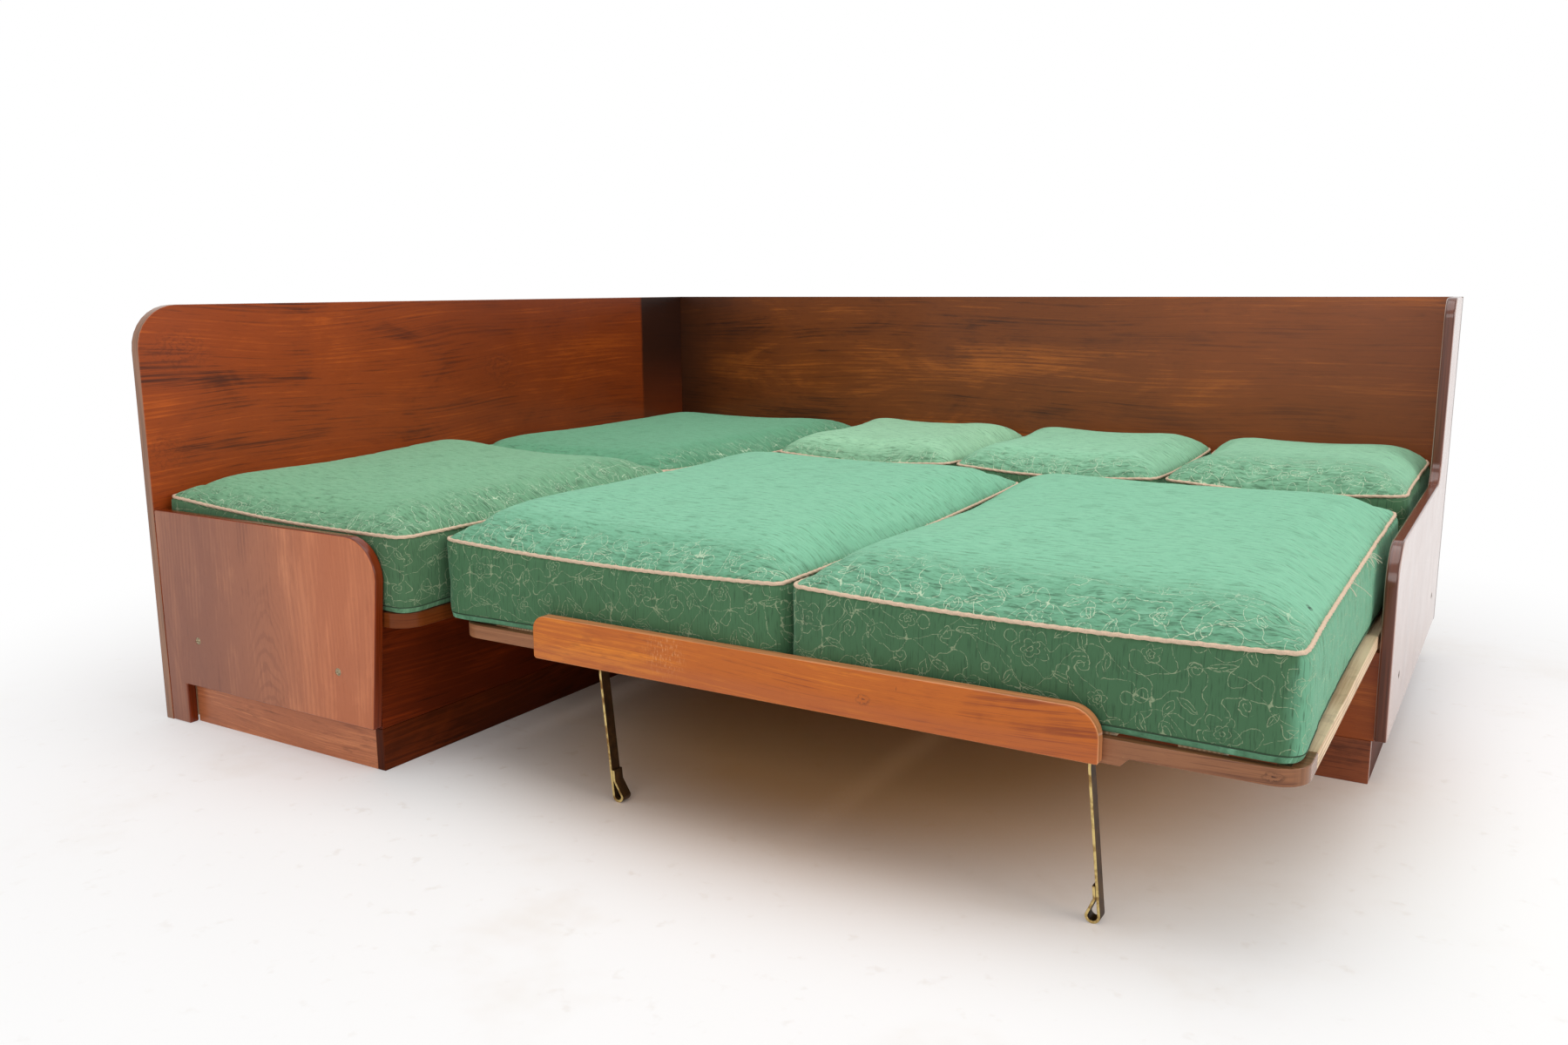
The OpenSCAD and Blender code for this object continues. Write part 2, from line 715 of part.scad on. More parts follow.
module back_cushion_middle() color("mediumseagreen") place() back_cushion(1);

module back_cushion_right() color("mediumseagreen") place() back_cushion(2);

left_back_panel();
rear_back_panel();
left_arm_panel();
right_arm_panel();
left_plinth_front();
left_plinth_side();
left_plinth_back();
right_plinth_front();
right_plinth_end();
rear_plinth();
left_box_front();
left_box_side();
left_box_floor();
deck_ledger();
deck_battens();
left_deck();
corner_block();
right_box_front();
right_box_end();
right_box_floor();
runner_board();
box_dividers();
slat_bearer();
rear_ledger();
stop_blocks();
fixed_slats();
left_arm_screws();
right_arm_screws();
left_front_cushion();
left_rear_cushion();
pullout_front_rail();
pullout_left_rail();
pullout_right_rail();
pullout_rear_rail();
pullout_slats();
pullout_ledgers();
pullout_corner_blocks();
front_board();
front_board_dowels();
leg_brackets();
leg_pins();
seat_cushion_left();
seat_cushion_right();
left_leg();
right_leg();
back_cushion_left();
back_cushion_middle();
back_cushion_right();
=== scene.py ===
"""Looks of the corner sofa bed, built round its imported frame: veneered boards, corded
cushions of a vine-patterned weave, bare slats and folding strap legs. All sizes are metres."""
import bpy
import bmesh
import json
import math
from mathutils import Matrix, Vector, noise
from mathutils.bvhtree import BVHTree
from mathutils.kdtree import KDTree


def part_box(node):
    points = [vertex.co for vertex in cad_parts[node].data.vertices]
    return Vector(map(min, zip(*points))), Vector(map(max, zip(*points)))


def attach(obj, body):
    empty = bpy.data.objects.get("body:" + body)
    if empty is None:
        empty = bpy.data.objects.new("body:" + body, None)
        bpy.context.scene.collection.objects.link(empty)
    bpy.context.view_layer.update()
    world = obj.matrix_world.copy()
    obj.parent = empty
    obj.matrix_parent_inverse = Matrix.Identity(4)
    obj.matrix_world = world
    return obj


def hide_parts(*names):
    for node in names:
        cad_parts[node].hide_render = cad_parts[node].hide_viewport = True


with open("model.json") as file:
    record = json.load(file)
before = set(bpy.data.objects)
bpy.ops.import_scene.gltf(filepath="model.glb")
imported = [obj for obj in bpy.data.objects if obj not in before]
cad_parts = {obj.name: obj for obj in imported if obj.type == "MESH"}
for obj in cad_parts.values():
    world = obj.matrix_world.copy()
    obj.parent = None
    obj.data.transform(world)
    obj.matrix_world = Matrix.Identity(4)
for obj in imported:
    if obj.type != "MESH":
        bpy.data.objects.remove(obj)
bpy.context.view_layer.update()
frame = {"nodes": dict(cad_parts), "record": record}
scene = bpy.context.scene
X, Y, Z = 0, 1, 2

# Each CAD node's body and material slot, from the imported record
BODY = {node: body for body, nodes in frame["record"]["behaviour"]["bodies"].items()
    for node in nodes}
SLOT = {part["node"]: part["material_slot"] for part in frame["record"]["subparts"]}

# Middle of the photographed frame and the lens that shows it
CAMERA_PLACE = Vector((1.3167, -2.4592, 0.8900))
CAMERA_YAW = math.radians(31.086)
CAMERA_PITCH = math.radians(-10.537)
CAMERA_ROLL = math.radians(-0.270)
CAMERA_LENS = 29.107

# Cushions: the cloth simulation, with its movement capped and less of it sideways
VOXEL = 0.010
CLOTH_FRAMES = 20
CLOTH = {"quality": 4, "mass": 0.25, "tension_stiffness": 12, "compression_stiffness": 8,
    "bending_stiffness": 0.6, "use_pressure": True, "uniform_pressure_force": 4.0,
    "vertex_group_mass": "held", "shrink_min": -0.015}
CLOTH_CAP = 0.008
SIDE_SWELL = 0.35
SEAM_PIN = 0.012
BASE_PIN, BASE_FADE = 0.004, 0.012

# Cushions: where the top seam is found, and the cord and the hem that are laid on the cover
SEAM_LEVEL = 0.42
SEAM_ABOVE = 0.6
SEAM_STEP, CORD_STEP, HEM_STEP = 0.004, 0.003, 0.005
LOWER_SEAM = 0.012
CORD_R, CORD_LIFT, CORD_WOBBLE, CORD_PITCH = 0.0031, 0.4, 0.0006, 0.018
LOBE_DEPTH = 0.16
HEM_R, HEM_LIFT = 0.0012, 0.2
EAR, EAR_REACH, EAR_RISE = 0.004, 0.016, 0.6

# Cushions: the cover's small forms, each a height and the lengths that it changes over
UPPER_FACE = 0.4
PUCKER, PUCKER_RUN, PUCKER_DEPTH, PUCKER_FADE = 0.0016, 0.016, 0.10, 0.045
GROOVE, GROOVE_WIDTH = 0.0012, 0.0065
SAG, SAG_SPAN = 0.0022, 0.30
DENT, DENT_SPAN = 0.0007, 0.055
FREE_HEIGHT = 0.03
LOWER_ROUND, LOWER_FILL = 0.020, 0.6
LIFT_REACH, LIFT_FADE, LIFT_SEAM = 0.34, 0.2, 0.05

# Cushions: what the cover's material reads as lid, the way past the seam, and as worn
LID_TILT = (0.59, 0.80)
LID_REACH = 0.02
SEAM_WEAR, SEAM_WEAR_FADE = 0.25, 0.02
UNDERSIDE = -0.6


def srgb(r, g, b):
    """A colour given as 0 to 255 on screen, as the linear colour that nodes take."""
    def linear(v):
        v /= 255
        return v / 12.92 if v <= 0.04045 else ((v + 0.055) / 1.055) ** 2.4
    return (linear(r), linear(g), linear(b), 1.0)


def shaded(tone, *factors):
    """A tone with its red, green and blue times the factors, or all three times the one."""
    factors = factors if len(factors) == 3 else factors * 3
    return tuple(min(1.0, v * f) for v, f in zip(tone[:3], factors)) + (1.0,)


class Shader:
    """A material, with short calls that add its nodes and link them."""

    def __init__(self, name, **sockets):
        self.material = bpy.data.materials.new(name)
        self.material.use_nodes = True
        tree = self.material.node_tree
        self.nodes, self.links = tree.nodes, tree.links
        self.surface = self.nodes["Principled BSDF"]
        for socket, value in sockets.items():
            self.surface.inputs[socket.replace("_", " ")].default_value = value
        coords = self.nodes.new("ShaderNodeTexCoord").outputs
        self.point, self.normal = coords["Object"], self.split(coords["Normal"])

    def put(self, socket, value):
        if isinstance(value, bpy.types.NodeSocket):
            self.links.new(value, socket)
        elif value is not None:
            socket.default_value = value

    def add(self, kind, values=(), **settings):
        node = self.nodes.new(kind)
        for name, value in settings.items():
            setattr(node, name, value)
        for key, value in dict(values).items():
            self.put(node.inputs[key], value)
        return node

    def math(self, operation, a, b=None, clamp=False):
        node = self.add("ShaderNodeMath", operation=operation, use_clamp=clamp)
        for socket, value in zip(node.inputs, (a, b)):
            self.put(socket, value)
        return node.outputs[0]

    def plus(self, value, *terms):
        for term in terms:
            value = self.math("ADD", value, term)
        return value

    def minus(self, a, b):
        return self.math("SUBTRACT", a, b)

    def scale(self, value, *factors):
        for factor in factors:
            value = self.math("MULTIPLY", value, factor)
        return value

    def absolute(self, value):
        return self.math("ABSOLUTE", value)

    def sine(self, value):
        return self.math("SINE", value)

    def split(self, vector):
        return self.add("ShaderNodeSeparateXYZ", {0: vector}).outputs

    def join(self, x, y, z=0.0):
        return self.add("ShaderNodeCombineXYZ", {0: x, 1: y, 2: z}).outputs[0]

    def length(self, vector):
        node = self.add("ShaderNodeVectorMath", {0: vector}, operation="LENGTH")
        return node.outputs["Value"]

    def around(self, a, b, centre, reach):
        """Flat coordinates round a centre, as shares of the reach."""
        return self.join(self.scale(self.minus(a, centre[0]), 1 / reach[0]),
            self.scale(self.minus(b, centre[1]), 1 / reach[1]))

    def offset(self, vector, origin):
        return self.add("ShaderNodeVectorMath", {0: vector, 1: origin},
            operation="SUBTRACT").outputs[0]

    def step(self, value, low, high):
        """0 below low, 1 above high and smooth between, or the reverse where low is above high."""
        flip = low > high
        node = self.add("ShaderNodeMapRange", {0: value, 1: min(low, high), 2: max(low, high),
            3: float(flip), 4: float(not flip)}, interpolation_type="SMOOTHSTEP")
        return node.outputs[0]

    def noise(self, vector, scale, detail, roughness=0.5, distortion=0.0):
        node = self.add("ShaderNodeTexNoise", {"Vector": vector, "Scale": scale, "Detail": detail,
            "Roughness": roughness, "Distortion": distortion})
        return node.outputs[0]

    def field(self, x, y, z, *kind):
        return self.noise(self.join(x, y, z), 1.0, *kind)

    def ramp(self, value, *stops):
        node = self.add("ShaderNodeValToRGB", {0: value})
        band = node.color_ramp.elements
        while len(band) < len(stops):
            band.new(0.5)
        for element, (place, colour) in zip(band, stops):
            element.position = place
            element.color = colour
        return node.outputs[0]

    def mix(self, share, a, b):
        node = self.add("ShaderNodeMix", data_type="RGBA")
        for index, value in ((0, share), (6, a), (7, b)):
            self.put(node.inputs[index], value)
        return node.outputs[2]

    def tint(self, base, tone, *shares):
        """The base with a tone laid over it, by the product of the shares."""
        return self.mix(self.scale(*shares), base, tone)

    def bump(self, height, strength, distance):
        node = self.add("ShaderNodeBump", {"Height": height, "Strength": strength,
            "Distance": distance})
        self.links.new(node.outputs[0], self.surface.inputs["Normal"])

    def colour(self, value):
        self.put(self.surface.inputs["Base Color"], value)

    def roughness(self, value):
        self.put(self.surface.inputs["Roughness"], value)


# Wood

EDGE_GLOSS = 0.22
ARCH_PITCH = 0.011
ARCH_SWAY = 0.11
PORE_SHARE = 0.36


def veneer(name, along, facing, light, mid, dark, streak=0.5, figure=1.0, gloss=0.36, coat=0.10,
        edge=None, seed=0.0, extra=None, lined=1.0, shine=0.28):
    """Lacquered veneer whose grain runs on one axis: fine growth lines that bend into arches,
    soft zones, short dark strokes and pores; its edges are lipped with plainer wood."""
    s = Shader("veneer_" + name, Roughness=gloss, Coat_Weight=coat, Coat_Roughness=0.12,
        Specular_IOR_Level=shine)
    across = 3 - along - facing
    place = s.split(s.point)
    g, c, t = place[along], place[across], place[facing]
    far = s.plus(t, seed)

    def grain(cross, often_along, often_across, *kind):
        """Noise that changes so often in a metre along the grain and across it."""
        return s.field(s.scale(g, often_along), s.scale(cross, often_across), far, *kind)

    warp = grain(c, 1.1, 3.6, 2.0, 0.4)
    bend = s.plus(c, s.scale(s.minus(warp, 0.5), ARCH_SWAY * figure))
    arches = s.sine(s.scale(bend, math.tau / ARCH_PITCH))
    lines = grain(bend, 2.6, 170.0, 3.0, 0.6)
    fine = grain(bend, 8.0, 460.0, 2.0, 0.6)
    broad = grain(bend, 0.9, 10.0, 2.0, 0.5, 0.3)
    clouds = grain(c, 3.2, 9.0, 4.0, 0.65, 0.9)
    tone = s.plus(s.scale(broad, 0.36), s.scale(clouds, 0.38), 0.13,
        s.scale(s.minus(lines, 0.5), 0.26 * lined), s.scale(s.minus(fine, 0.5), 0.24 * lined),
        s.scale(arches, 0.018 * figure))
    face = s.ramp(tone, (0.35, dark), (0.46, mid), (0.52, mid), (0.64, light))
    strokes = s.field(s.scale(g, 15.0), s.scale(bend, 95.0), s.plus(far, 5.0), 4.0, 0.65, 0.5)
    patches = s.step(grain(c, 3.0, 9.0, 3.0, 0.5), 0.46, 0.62)
    strokes = s.scale(s.step(strokes, 0.50, 0.70), patches)
    face = s.tint(face, dark, strokes, streak)
    pores = grain(bend, 50.0, 1000.0, 1.0, 0.5)
    face = s.tint(face, dark, s.step(pores, 0.60, 0.74), PORE_SHARE)
    if extra:
        face = extra(s, place, face)
    rim_grain = s.field(s.scale(g, 6.0), s.scale(c, 6.0), s.scale(t, 300.0), 2.0, 0.5)
    lip = edge or mid
    rim = s.mix(s.step(rim_grain, 0.35, 0.7), lip, shaded(lip, 0.62))
    flat = s.step(s.absolute(s.normal[facing]), 0.5, 0.9)
    s.colour(s.mix(flat, rim, face))
    wear = s.noise(s.point, 9.0, 4.0, 0.6)
    matt = s.scale(flat, gloss - EDGE_GLOSS)
    s.roughness(s.plus(EDGE_GLOSS - 0.10, matt, s.scale(wear, 0.2)))
    s.bump(s.plus(fine, s.scale(pores, -0.8)), 0.08, 0.0006)
    return s.material


def eye(s, along, across, centre, reach, turns, face, tone, share):
    """Rings of grain round an eye in the wood, which fade outwards."""
    local = s.around(along, across, centre, reach)
    far = s.length(local)
    uneven = s.plus(far, s.scale(s.noise(local, 1.4, 4.0, 0.7), 1.7))
    rings = s.step(s.sine(s.scale(uneven, turns * math.tau)), 0.0, 1.0)
    fade = s.step(far, 1.0, 0.2)
    return s.tint(face, tone, fade, rings, share)


def left_figure_and_shade(s, place, face):
    """The left panel's burls, and its darkening towards the corner: a broad one and, on the inner
    face, a sharp-edged patch that is deepest up high; both are partly stain, partly painted shade."""
    for centre, reach, turns, share in (((0.080, 0.685), (0.085, 0.055), 3.0, 0.45),
            ((0.110, 0.632), (0.065, 0.024), 2.5, 0.45),
            ((-0.850, 0.765), (0.100, 0.065), 4.0, 0.35),
            ((-0.900, 0.560), (0.080, 0.060), 4.0, 0.28)):
        face = eye(s, place[Y], place[Z], centre, reach, turns, face, RED[2], share)
    # Darker towards the corner: partly stain, partly painted shade.
    face = s.tint(face, srgb(84, 28, 6), s.step(place[Y], -0.50, 0.15), 0.46)
    # A sharp-edged dark patch beside the corner on the inner face, deepest up high: partly stain,
    # partly painted shade.
    wobble = s.scale(s.noise(s.point, 7.0, 3.0, 0.6), 0.012)
    start = s.step(s.plus(place[Y], wobble), 0.706, 0.722)
    height = s.step(place[Z], 0.44, 0.72)
    share = s.scale(start, s.plus(s.scale(height, 0.50), 0.45), 0.97)
    inside = s.step(s.normal[X], 0.0, 0.3)
    return s.tint(face, srgb(26, 14, 9), share, inside)


def rear_shade(s, place, face):
    """Painted shade darkens the rear panel's inner face by the corner; it warms towards the right
    arm.
    """
    wobble = s.scale(s.noise(s.point, 4.0, 3.0, 0.6), 0.25)
    share = s.step(s.plus(place[X], wobble), -0.50, -1.00)
    inside = s.step(s.normal[Y], 0.0, -0.3)
    # Painted shade beside the corner, on the inner face only.
    face = s.tint(face, srgb(38, 16, 7), share, inside, 0.86)
    warm = s.step(s.plus(place[X], s.scale(wobble, 2.0)), 0.35, 0.85)
    return s.tint(face, srgb(150, 74, 28), warm, 0.35)


def arm_figure(s, place, face):
    """The left arm's veneer: arches of grain up its middle, purple-brown at the left and warmer
    at the right."""
    side = s.scale(s.minus(place[X], -0.775), 1 / 0.034)
    drift = s.scale(s.field(s.scale(place[X], 14.0), s.scale(place[Z], 5.0), 0.0, 4.0), 4.0)
    peak = s.plus(s.scale(place[Z], 1 / 0.032), s.scale(side, side))
    rings = s.sine(s.scale(s.plus(peak, drift), math.tau))
    reach = s.scale(s.step(s.absolute(side), 2.2, 0.3), s.step(place[Z], 0.36, 0.22))
    arches = s.scale(s.step(rings, 0.1, 0.9), reach)
    face = s.tint(face, PINK[2], arches, 0.24)
    face = s.tint(face, srgb(70, 46, 54), s.step(place[X], -0.72, -1.00), 0.36)
    return s.tint(face, srgb(225, 110, 40), s.step(place[X], -0.80, -0.55), 0.24)


def painted_glare(s, _, face):
    """The right arm's broad faces, paled to a pinkish white: a painted reflection of the bright
    room.
    """
    # Painted reflection, mixed most of the way into the veneer's colour.
    return s.mix(0.62, face, srgb(198, 182, 177))


def scuffs(s, place, face):
    """Faint rubbed patches, a small knot and short nicks on the front board."""
    far = s.length(s.join(s.minus(place[X], 0.118), s.minus(place[Z], 0.300)))
    rub = s.field(s.scale(place[X], 300.0), s.scale(place[Z], 90.0), 0.0, 3.0, 0.7)
    rubbed = s.scale(s.step(far, 0.055, 0.010), s.step(rub, 0.50, 0.66))
    face = s.tint(face, srgb(232, 176, 120), rubbed, 0.45)
    nicks = s.field(s.scale(place[X], 70.0), s.scale(place[Z], 24.0), 4.0, 2.0, 0.6)
    face = s.tint(face, srgb(84, 40, 18), s.step(nicks, 0.73, 0.78), 0.55)
    face = s.tint(face, srgb(166, 88, 58), s.step(place[Z], 0.292, 0.268), 0.30)
    return eye(s, place[X], place[Z], (0.483, 0.285), (0.017, 0.012), 1.5, face,
        srgb(92, 46, 22), 0.75)


def chipped(s, place, face):
    """A knot and a small chip at the front rail's right end."""
    face = eye(s, place[X], place[Z], (1.060, 0.272), (0.020, 0.010), 1.5, face,
        srgb(56, 30, 18), 0.8)
    return eye(s, place[X], place[Z], (0.868, 0.262), (0.010, 0.003), 0.5, face,
        srgb(214, 168, 108), 0.9)


def pine(name, along, facing, tone):
    """Bare planed softwood with straight growth lines, a few knots and patches of dirt."""
    s = Shader(name, Roughness=0.62)
    across = 3 - along - facing
    place = s.split(s.point)
    g, c, t = place[along], place[across], place[facing]
    warp = s.field(s.scale(g, 1.6), s.scale(c, 8.0), t, 2.0, 0.5)
    lines = s.sine(s.scale(s.plus(c, s.scale(warp, 0.05)), 950.0))
    fine = s.field(s.scale(g, 8.0), s.scale(c, 420.0), s.scale(t, 420.0), 2.0, 0.6)
    shade = s.plus(s.scale(lines, 0.16), s.plus(s.scale(fine, 0.5), 0.25))
    wood = s.mix(s.step(shade, 0.25, 0.8), tone, shaded(tone, 0.62, 0.50, 0.40))
    spots = s.add("ShaderNodeTexVoronoi", {"Vector": s.join(s.scale(g, 3.0), s.scale(c, 9.0),
        s.scale(t, 9.0)), "Scale": 1.0}).outputs["Distance"]
    wood = s.tint(wood, srgb(96, 56, 32), s.step(spots, 0.09, 0.03), 0.8)
    dirt = s.noise(s.point, 14.0, 4.0, 0.65)
    wood = s.tint(wood, srgb(112, 82, 58), s.step(dirt, 0.52, 0.75), 0.35)
    s.colour(wood)
    s.bump(fine, 0.18, 0.0008)
    return s.material


# Cloth

VINE_REPEAT = (0.178, 0.150)
VINE_THREAD = 0.0038


class Vine:
    """A repeat of the woven ornament as thin outlines: a flower, leaves, tendrils and a stem.
    Places are shares of the repeat, and each call keeps the strongest line so far."""

    def __init__(self, shader, u, v):
        self.s = s = shader
        width, height = VINE_REPEAT
        column = s.math("DIVIDE", u, width)
        odd = s.math("FRACT", s.scale(s.math("FLOOR", column), 0.5))
        row = s.math("DIVIDE", s.plus(v, s.scale(odd, height)), height)
        flip = s.minus(1.0, s.scale(odd, 4.0))
        x = s.minus(s.math("FRACT", column), 0.5)
        y = s.minus(s.math("FRACT", row), 0.5)
        self.tile = s.join(s.scale(x, flip), s.scale(y, height / width))
        self.line = None

    def keep(self, mask):
        self.line = mask if self.line is None else self.s.math("MAXIMUM", self.line, mask)

    def local(self, x, y, turn, size):
        """The place across and along an element of the ornament."""
        node = self.s.add("ShaderNodeMapping", {"Vector": self.tile, "Location": (x, y, 0),
            "Rotation": (0, 0, math.radians(turn)), "Scale": (size, size, 1)},
            vector_type="TEXTURE")
        return self.s.split(node.outputs[0])[:2]

    def near(self, distance, size):
        """A thread's width of line where the distance, in shares of the element, is small."""
        thread = VINE_THREAD / size
        return self.s.step(distance, thread, 0.35 * thread)

    def leaf(self, x, y, turn, size, fat):
        s = self.s
        px, py = self.local(x, y, turn, size)
        edge = s.scale(s.minus(1.0, s.scale(px, px)), fat)
        rim = s.absolute(s.minus(s.absolute(py), edge))
        rib = s.plus(s.absolute(py), s.step(px, 0.2, 0.5))
        inside = s.step(s.absolute(px), 1.05, 1.0)
        self.keep(s.scale(self.near(s.math("MINIMUM", rim, rib), size), inside))

    def curl(self, x, y, turn, size, sign):
        """A tendril that winds in once and a half."""
        s = self.s
        px, py = self.local(x, y, turn, size)
        far = s.length(s.join(px, py))
        angle = s.math("ARCTAN2", s.scale(py, sign), px)
        wind = s.minus(far, s.scale(s.plus(angle, math.pi), 0.5 / math.tau))
        ring = s.minus(s.math("FRACT", s.plus(s.math("DIVIDE", wind, 0.5), 0.5)), 0.5)
        spiral = s.scale(s.absolute(ring), 0.5)
        inside = s.scale(s.step(far, 1.0, 0.97), s.step(far, 0.16, 0.22))
        self.keep(s.scale(self.near(spiral, size), inside))

    def flower(self, x, y, turn, size):
        s = self.s
        px, py = self.local(x, y, turn, size)
        far = s.length(s.join(px, py))
        angle = s.math("ARCTAN2", py, px)
        petals = s.absolute(s.sine(s.scale(angle, 2.5)))
        outer = s.plus(0.62, s.scale(petals, 0.38))
        inner = s.plus(0.30, s.scale(petals, 0.16))
        gap = s.absolute(s.minus(far, outer))
        for ring in (inner, 0.13):
            gap = s.math("MINIMUM", gap, s.absolute(s.minus(far, ring)))
        self.keep(self.near(gap, size))
        return s.step(far, 0.85, 0.55)

    def stem(self, rise, swing, phase):
        s = self.s
        px, py, _ = s.split(self.tile)
        wave = s.scale(s.sine(s.scale(s.plus(px, phase), math.tau)), swing)
        slack = s.absolute(s.minus(s.minus(py, rise), wave))
        self.keep(self.near(slack, 1.25))


def cloth_coords(s):
    """Flat coordinates on a cushion's top and round its band, and a mask of each, which meet
    at the seam that the lid attribute measures from."""
    place = s.split(s.point)
    above = s.add("ShaderNodeAttribute", attribute_name="lid").outputs["Fac"]
    top = s.math("GREATER_THAN", above, 0.0)
    band = s.minus(1.0, top)
    side = s.math("GREATER_THAN", s.absolute(s.normal[X]), s.absolute(s.normal[Y]))
    round_band = s.plus(s.scale(side, place[Y]), s.scale(s.minus(1.0, side), place[X]))
    u = s.plus(s.scale(top, place[X]), s.scale(band, round_band))
    v = s.plus(s.scale(top, place[Y]), s.scale(band, place[Z]))
    return u, v, top, band


def wander(s, u, v, seed):
    """Shifts each place a little, broadly and finely, because drawn threads never run even."""
    for reach, often in ((0.016, 24.0), (0.0052, 95.0)):
        across = s.field(s.scale(u, often), s.scale(v, often), seed, 2.0, 0.5)
        along = s.field(s.scale(v, often), s.scale(u, often), seed + 3.0, 2.0, 0.5)
        u = s.plus(u, s.scale(s.minus(across, 0.5), reach))
        v = s.plus(v, s.scale(s.minus(along, 0.5), reach))
    return u, v


BAND_THREAD, TOP_THREAD = srgb(186, 194, 158), srgb(204, 222, 190)
SLIT_REACH = (0.006, 0.010)


def upholstery(name, band_tone, top_tone, seed=0.0, fade=0.5, side_light=0.0, slit=None):
    """Woven cover: fine ribs round the band and crinkles across the top, a vine outlined in pale
    thread that is worn away on the middle of the tops, and tops paler towards their middle, partly
    bleached by the sun and partly painted light; painted light may lighten the band's right-hand
    side."""
    s = Shader("cover_" + name, Roughness=0.82, Sheen_Weight=0.30, Sheen_Roughness=0.45,
        Sheen_Tint=srgb(176, 232, 200), Specular_IOR_Level=0.25)
    u, v, top, band = cloth_coords(s)
    swayed, lifted = wander(s, u, v, seed)

    def speckle(often_u, often_v, shift, *kind):
        """Noise that changes so often in a metre along u and along v."""
        return s.field(s.scale(u, often_u), s.scale(v, often_v), seed + shift, *kind)

    vine = Vine(s, s.plus(swayed, seed * 0.37), lifted)
    bloom = vine.flower(-0.24, 0.10, 12, 0.150)
    vine.flower(0.30, -0.22, 40, 0.080)
    for leaf in ((0.02, 0.27, 35, 0.105, 0.32), (0.16, 0.22, 110, 0.085, 0.40),
            (0.02, -0.10, -30, 0.095, 0.30), (-0.22, -0.25, 170, 0.105, 0.28),
            (0.36, 0.08, 80, 0.090, 0.40), (-0.42, -0.16, 60, 0.070, 0.40)):
        vine.leaf(*leaf)
    for curl in ((0.17, 0.04, 0, 0.075, 1), (-0.04, -0.30, 120, 0.070, -1),
            (0.36, 0.30, 200, 0.070, 1), (-0.40, 0.33, 60, 0.060, -1)):
        vine.curl(*curl)
    vine.stem(0.0, 0.20, 0.0)
    vine.stem(-0.33, 0.06, 0.4)
    field = s.field(s.scale(swayed, 30.0), s.scale(lifted, 30.0), seed + 6.0, 0.0)
    scrawl = s.step(s.absolute(s.minus(field, 0.5)), 0.011, 0.004)
    broken = speckle(240.0, 240.0, 0.0, 2.0, 0.6)
    thread = s.scale(s.math("MAXIMUM", vine.line, s.scale(scrawl, 0.9)), s.step(broken, 0.36, 0.52))
    worn = s.add("ShaderNodeAttribute", attribute_name="worn").outputs["Fac"]
    patchy = speckle(9.0, 9.0, 0.0, 3.0, 0.6)
    fresh = s.step(s.plus(worn, s.scale(s.minus(patchy, 0.5), 0.9)), 0.85, 0.35)
    fresh = s.scale(fresh, s.step(worn, UNDERSIDE, -0.1))
    show = s.plus(s.scale(top, s.plus(s.scale(fresh, 0.82), 0.03)), s.scale(band, 0.54))
    show = s.scale(thread, show)
    # Painted light: the band's right-hand side is lightened, as light falls on it from the right.
    lit_side = s.step(s.normal[X], 0.2, 0.9)
    tone = s.tint(band_tone, srgb(114, 176, 142), lit_side, side_light)
    tone = s.mix(top, tone, top_tone)
    pale, dim = shaded(top_tone, 1.45, 1.18, 1.25), shaded(band_tone, 0.55)
    # Tops paler towards their middle and nearer the band's tone by the seam and the fresh edges:
    # partly bleaching, partly painted shade of the rolled edges.
    bleach_and_light = s.plus(s.scale(worn, fade), s.scale(s.minus(patchy, 0.5), 0.45))
    bleach_and_light = s.math("MULTIPLY", s.scale(bleach_and_light, top), 0.6, clamp=True)
    tone = s.mix(bleach_and_light, tone, pale)
    edge_tone_and_shade = s.scale(s.minus(1.0, worn), s.scale(top, 0.42))
    tone = s.mix(edge_tone_and_shade, tone, band_tone)
    rows = speckle(60.0, 400.0, 0.0, 3.0, 0.6)
    ribs = speckle(360.0, 30.0, 0.0, 2.0, 0.6)
    weave = s.plus(s.scale(rows, top), s.scale(ribs, band))
    creased = s.plus(s.scale(band, 0.78), s.scale(top, s.plus(s.scale(fresh, 0.34), 0.32)))
    tone = s.tint(tone, dim, s.step(weave, 0.50, 0.72), creased)
    slubs = speckle(30.0, 150.0, 9.0, 4.0, 0.7)
    tone = s.tint(tone, pale, s.step(slubs, 0.50, 0.68), top, 0.55)
    tone = s.tint(tone, dim, s.step(slubs, 0.48, 0.34), top, 0.46)
    # Folds on the fresh tops: dented by the bump and darkened in colour as painted shade.
    folds = speckle(34.0, 190.0, 12.0, 2.0, 0.6)
    fold_shade = s.scale(s.step(folds, 0.56, 0.64), fresh, top)
    tone = s.tint(tone, dim, fold_shade, 0.46)
    tone = s.mix(show, tone, s.mix(top, BAND_THREAD, TOP_THREAD))
    if slit:
        # The slit's dark opening is painted shade of the hollow under the torn cloth.
        place = s.split(s.point)
        cut = s.length(s.around(place[X], place[Y], slit, SLIT_REACH))
        torn = s.scale(s.step(cut, 1.0, 0.6), s.step(broken, 0.40, 0.50))
        tone = s.tint(tone, srgb(18, 36, 26), torn, top)
    s.colour(tone)
    quilted = s.sine(s.scale(s.plus(v, s.scale(rows, 0.006)), 1250.0))
    puff = s.scale(bloom, quilted, 0.6)
    relief = s.plus(weave, s.scale(show, 0.9), puff)
    relief = s.minus(relief, s.scale(fold_shade, 0.8))
    s.bump(relief, 0.55, 0.0016)
    return s.material


def plain_material(name, tone, gloss, metallic, spread, grain):
    """A small piece's finish: one tone with blotches of a given spread and fineness."""
    s = Shader(name, Metallic=metallic)
    spots = s.noise(s.point, grain, 4.0, 0.65)
    low, high = shaded(tone, 1 - spread), shaded(tone, 1 + spread)
    s.colour(s.ramp(spots, (0.32, low), (0.5, tone), (0.70, high)))
    s.roughness(s.plus(gloss - 0.1, s.scale(spots, 0.2)))
    s.bump(spots, 0.12, 0.0005)
    return s.material


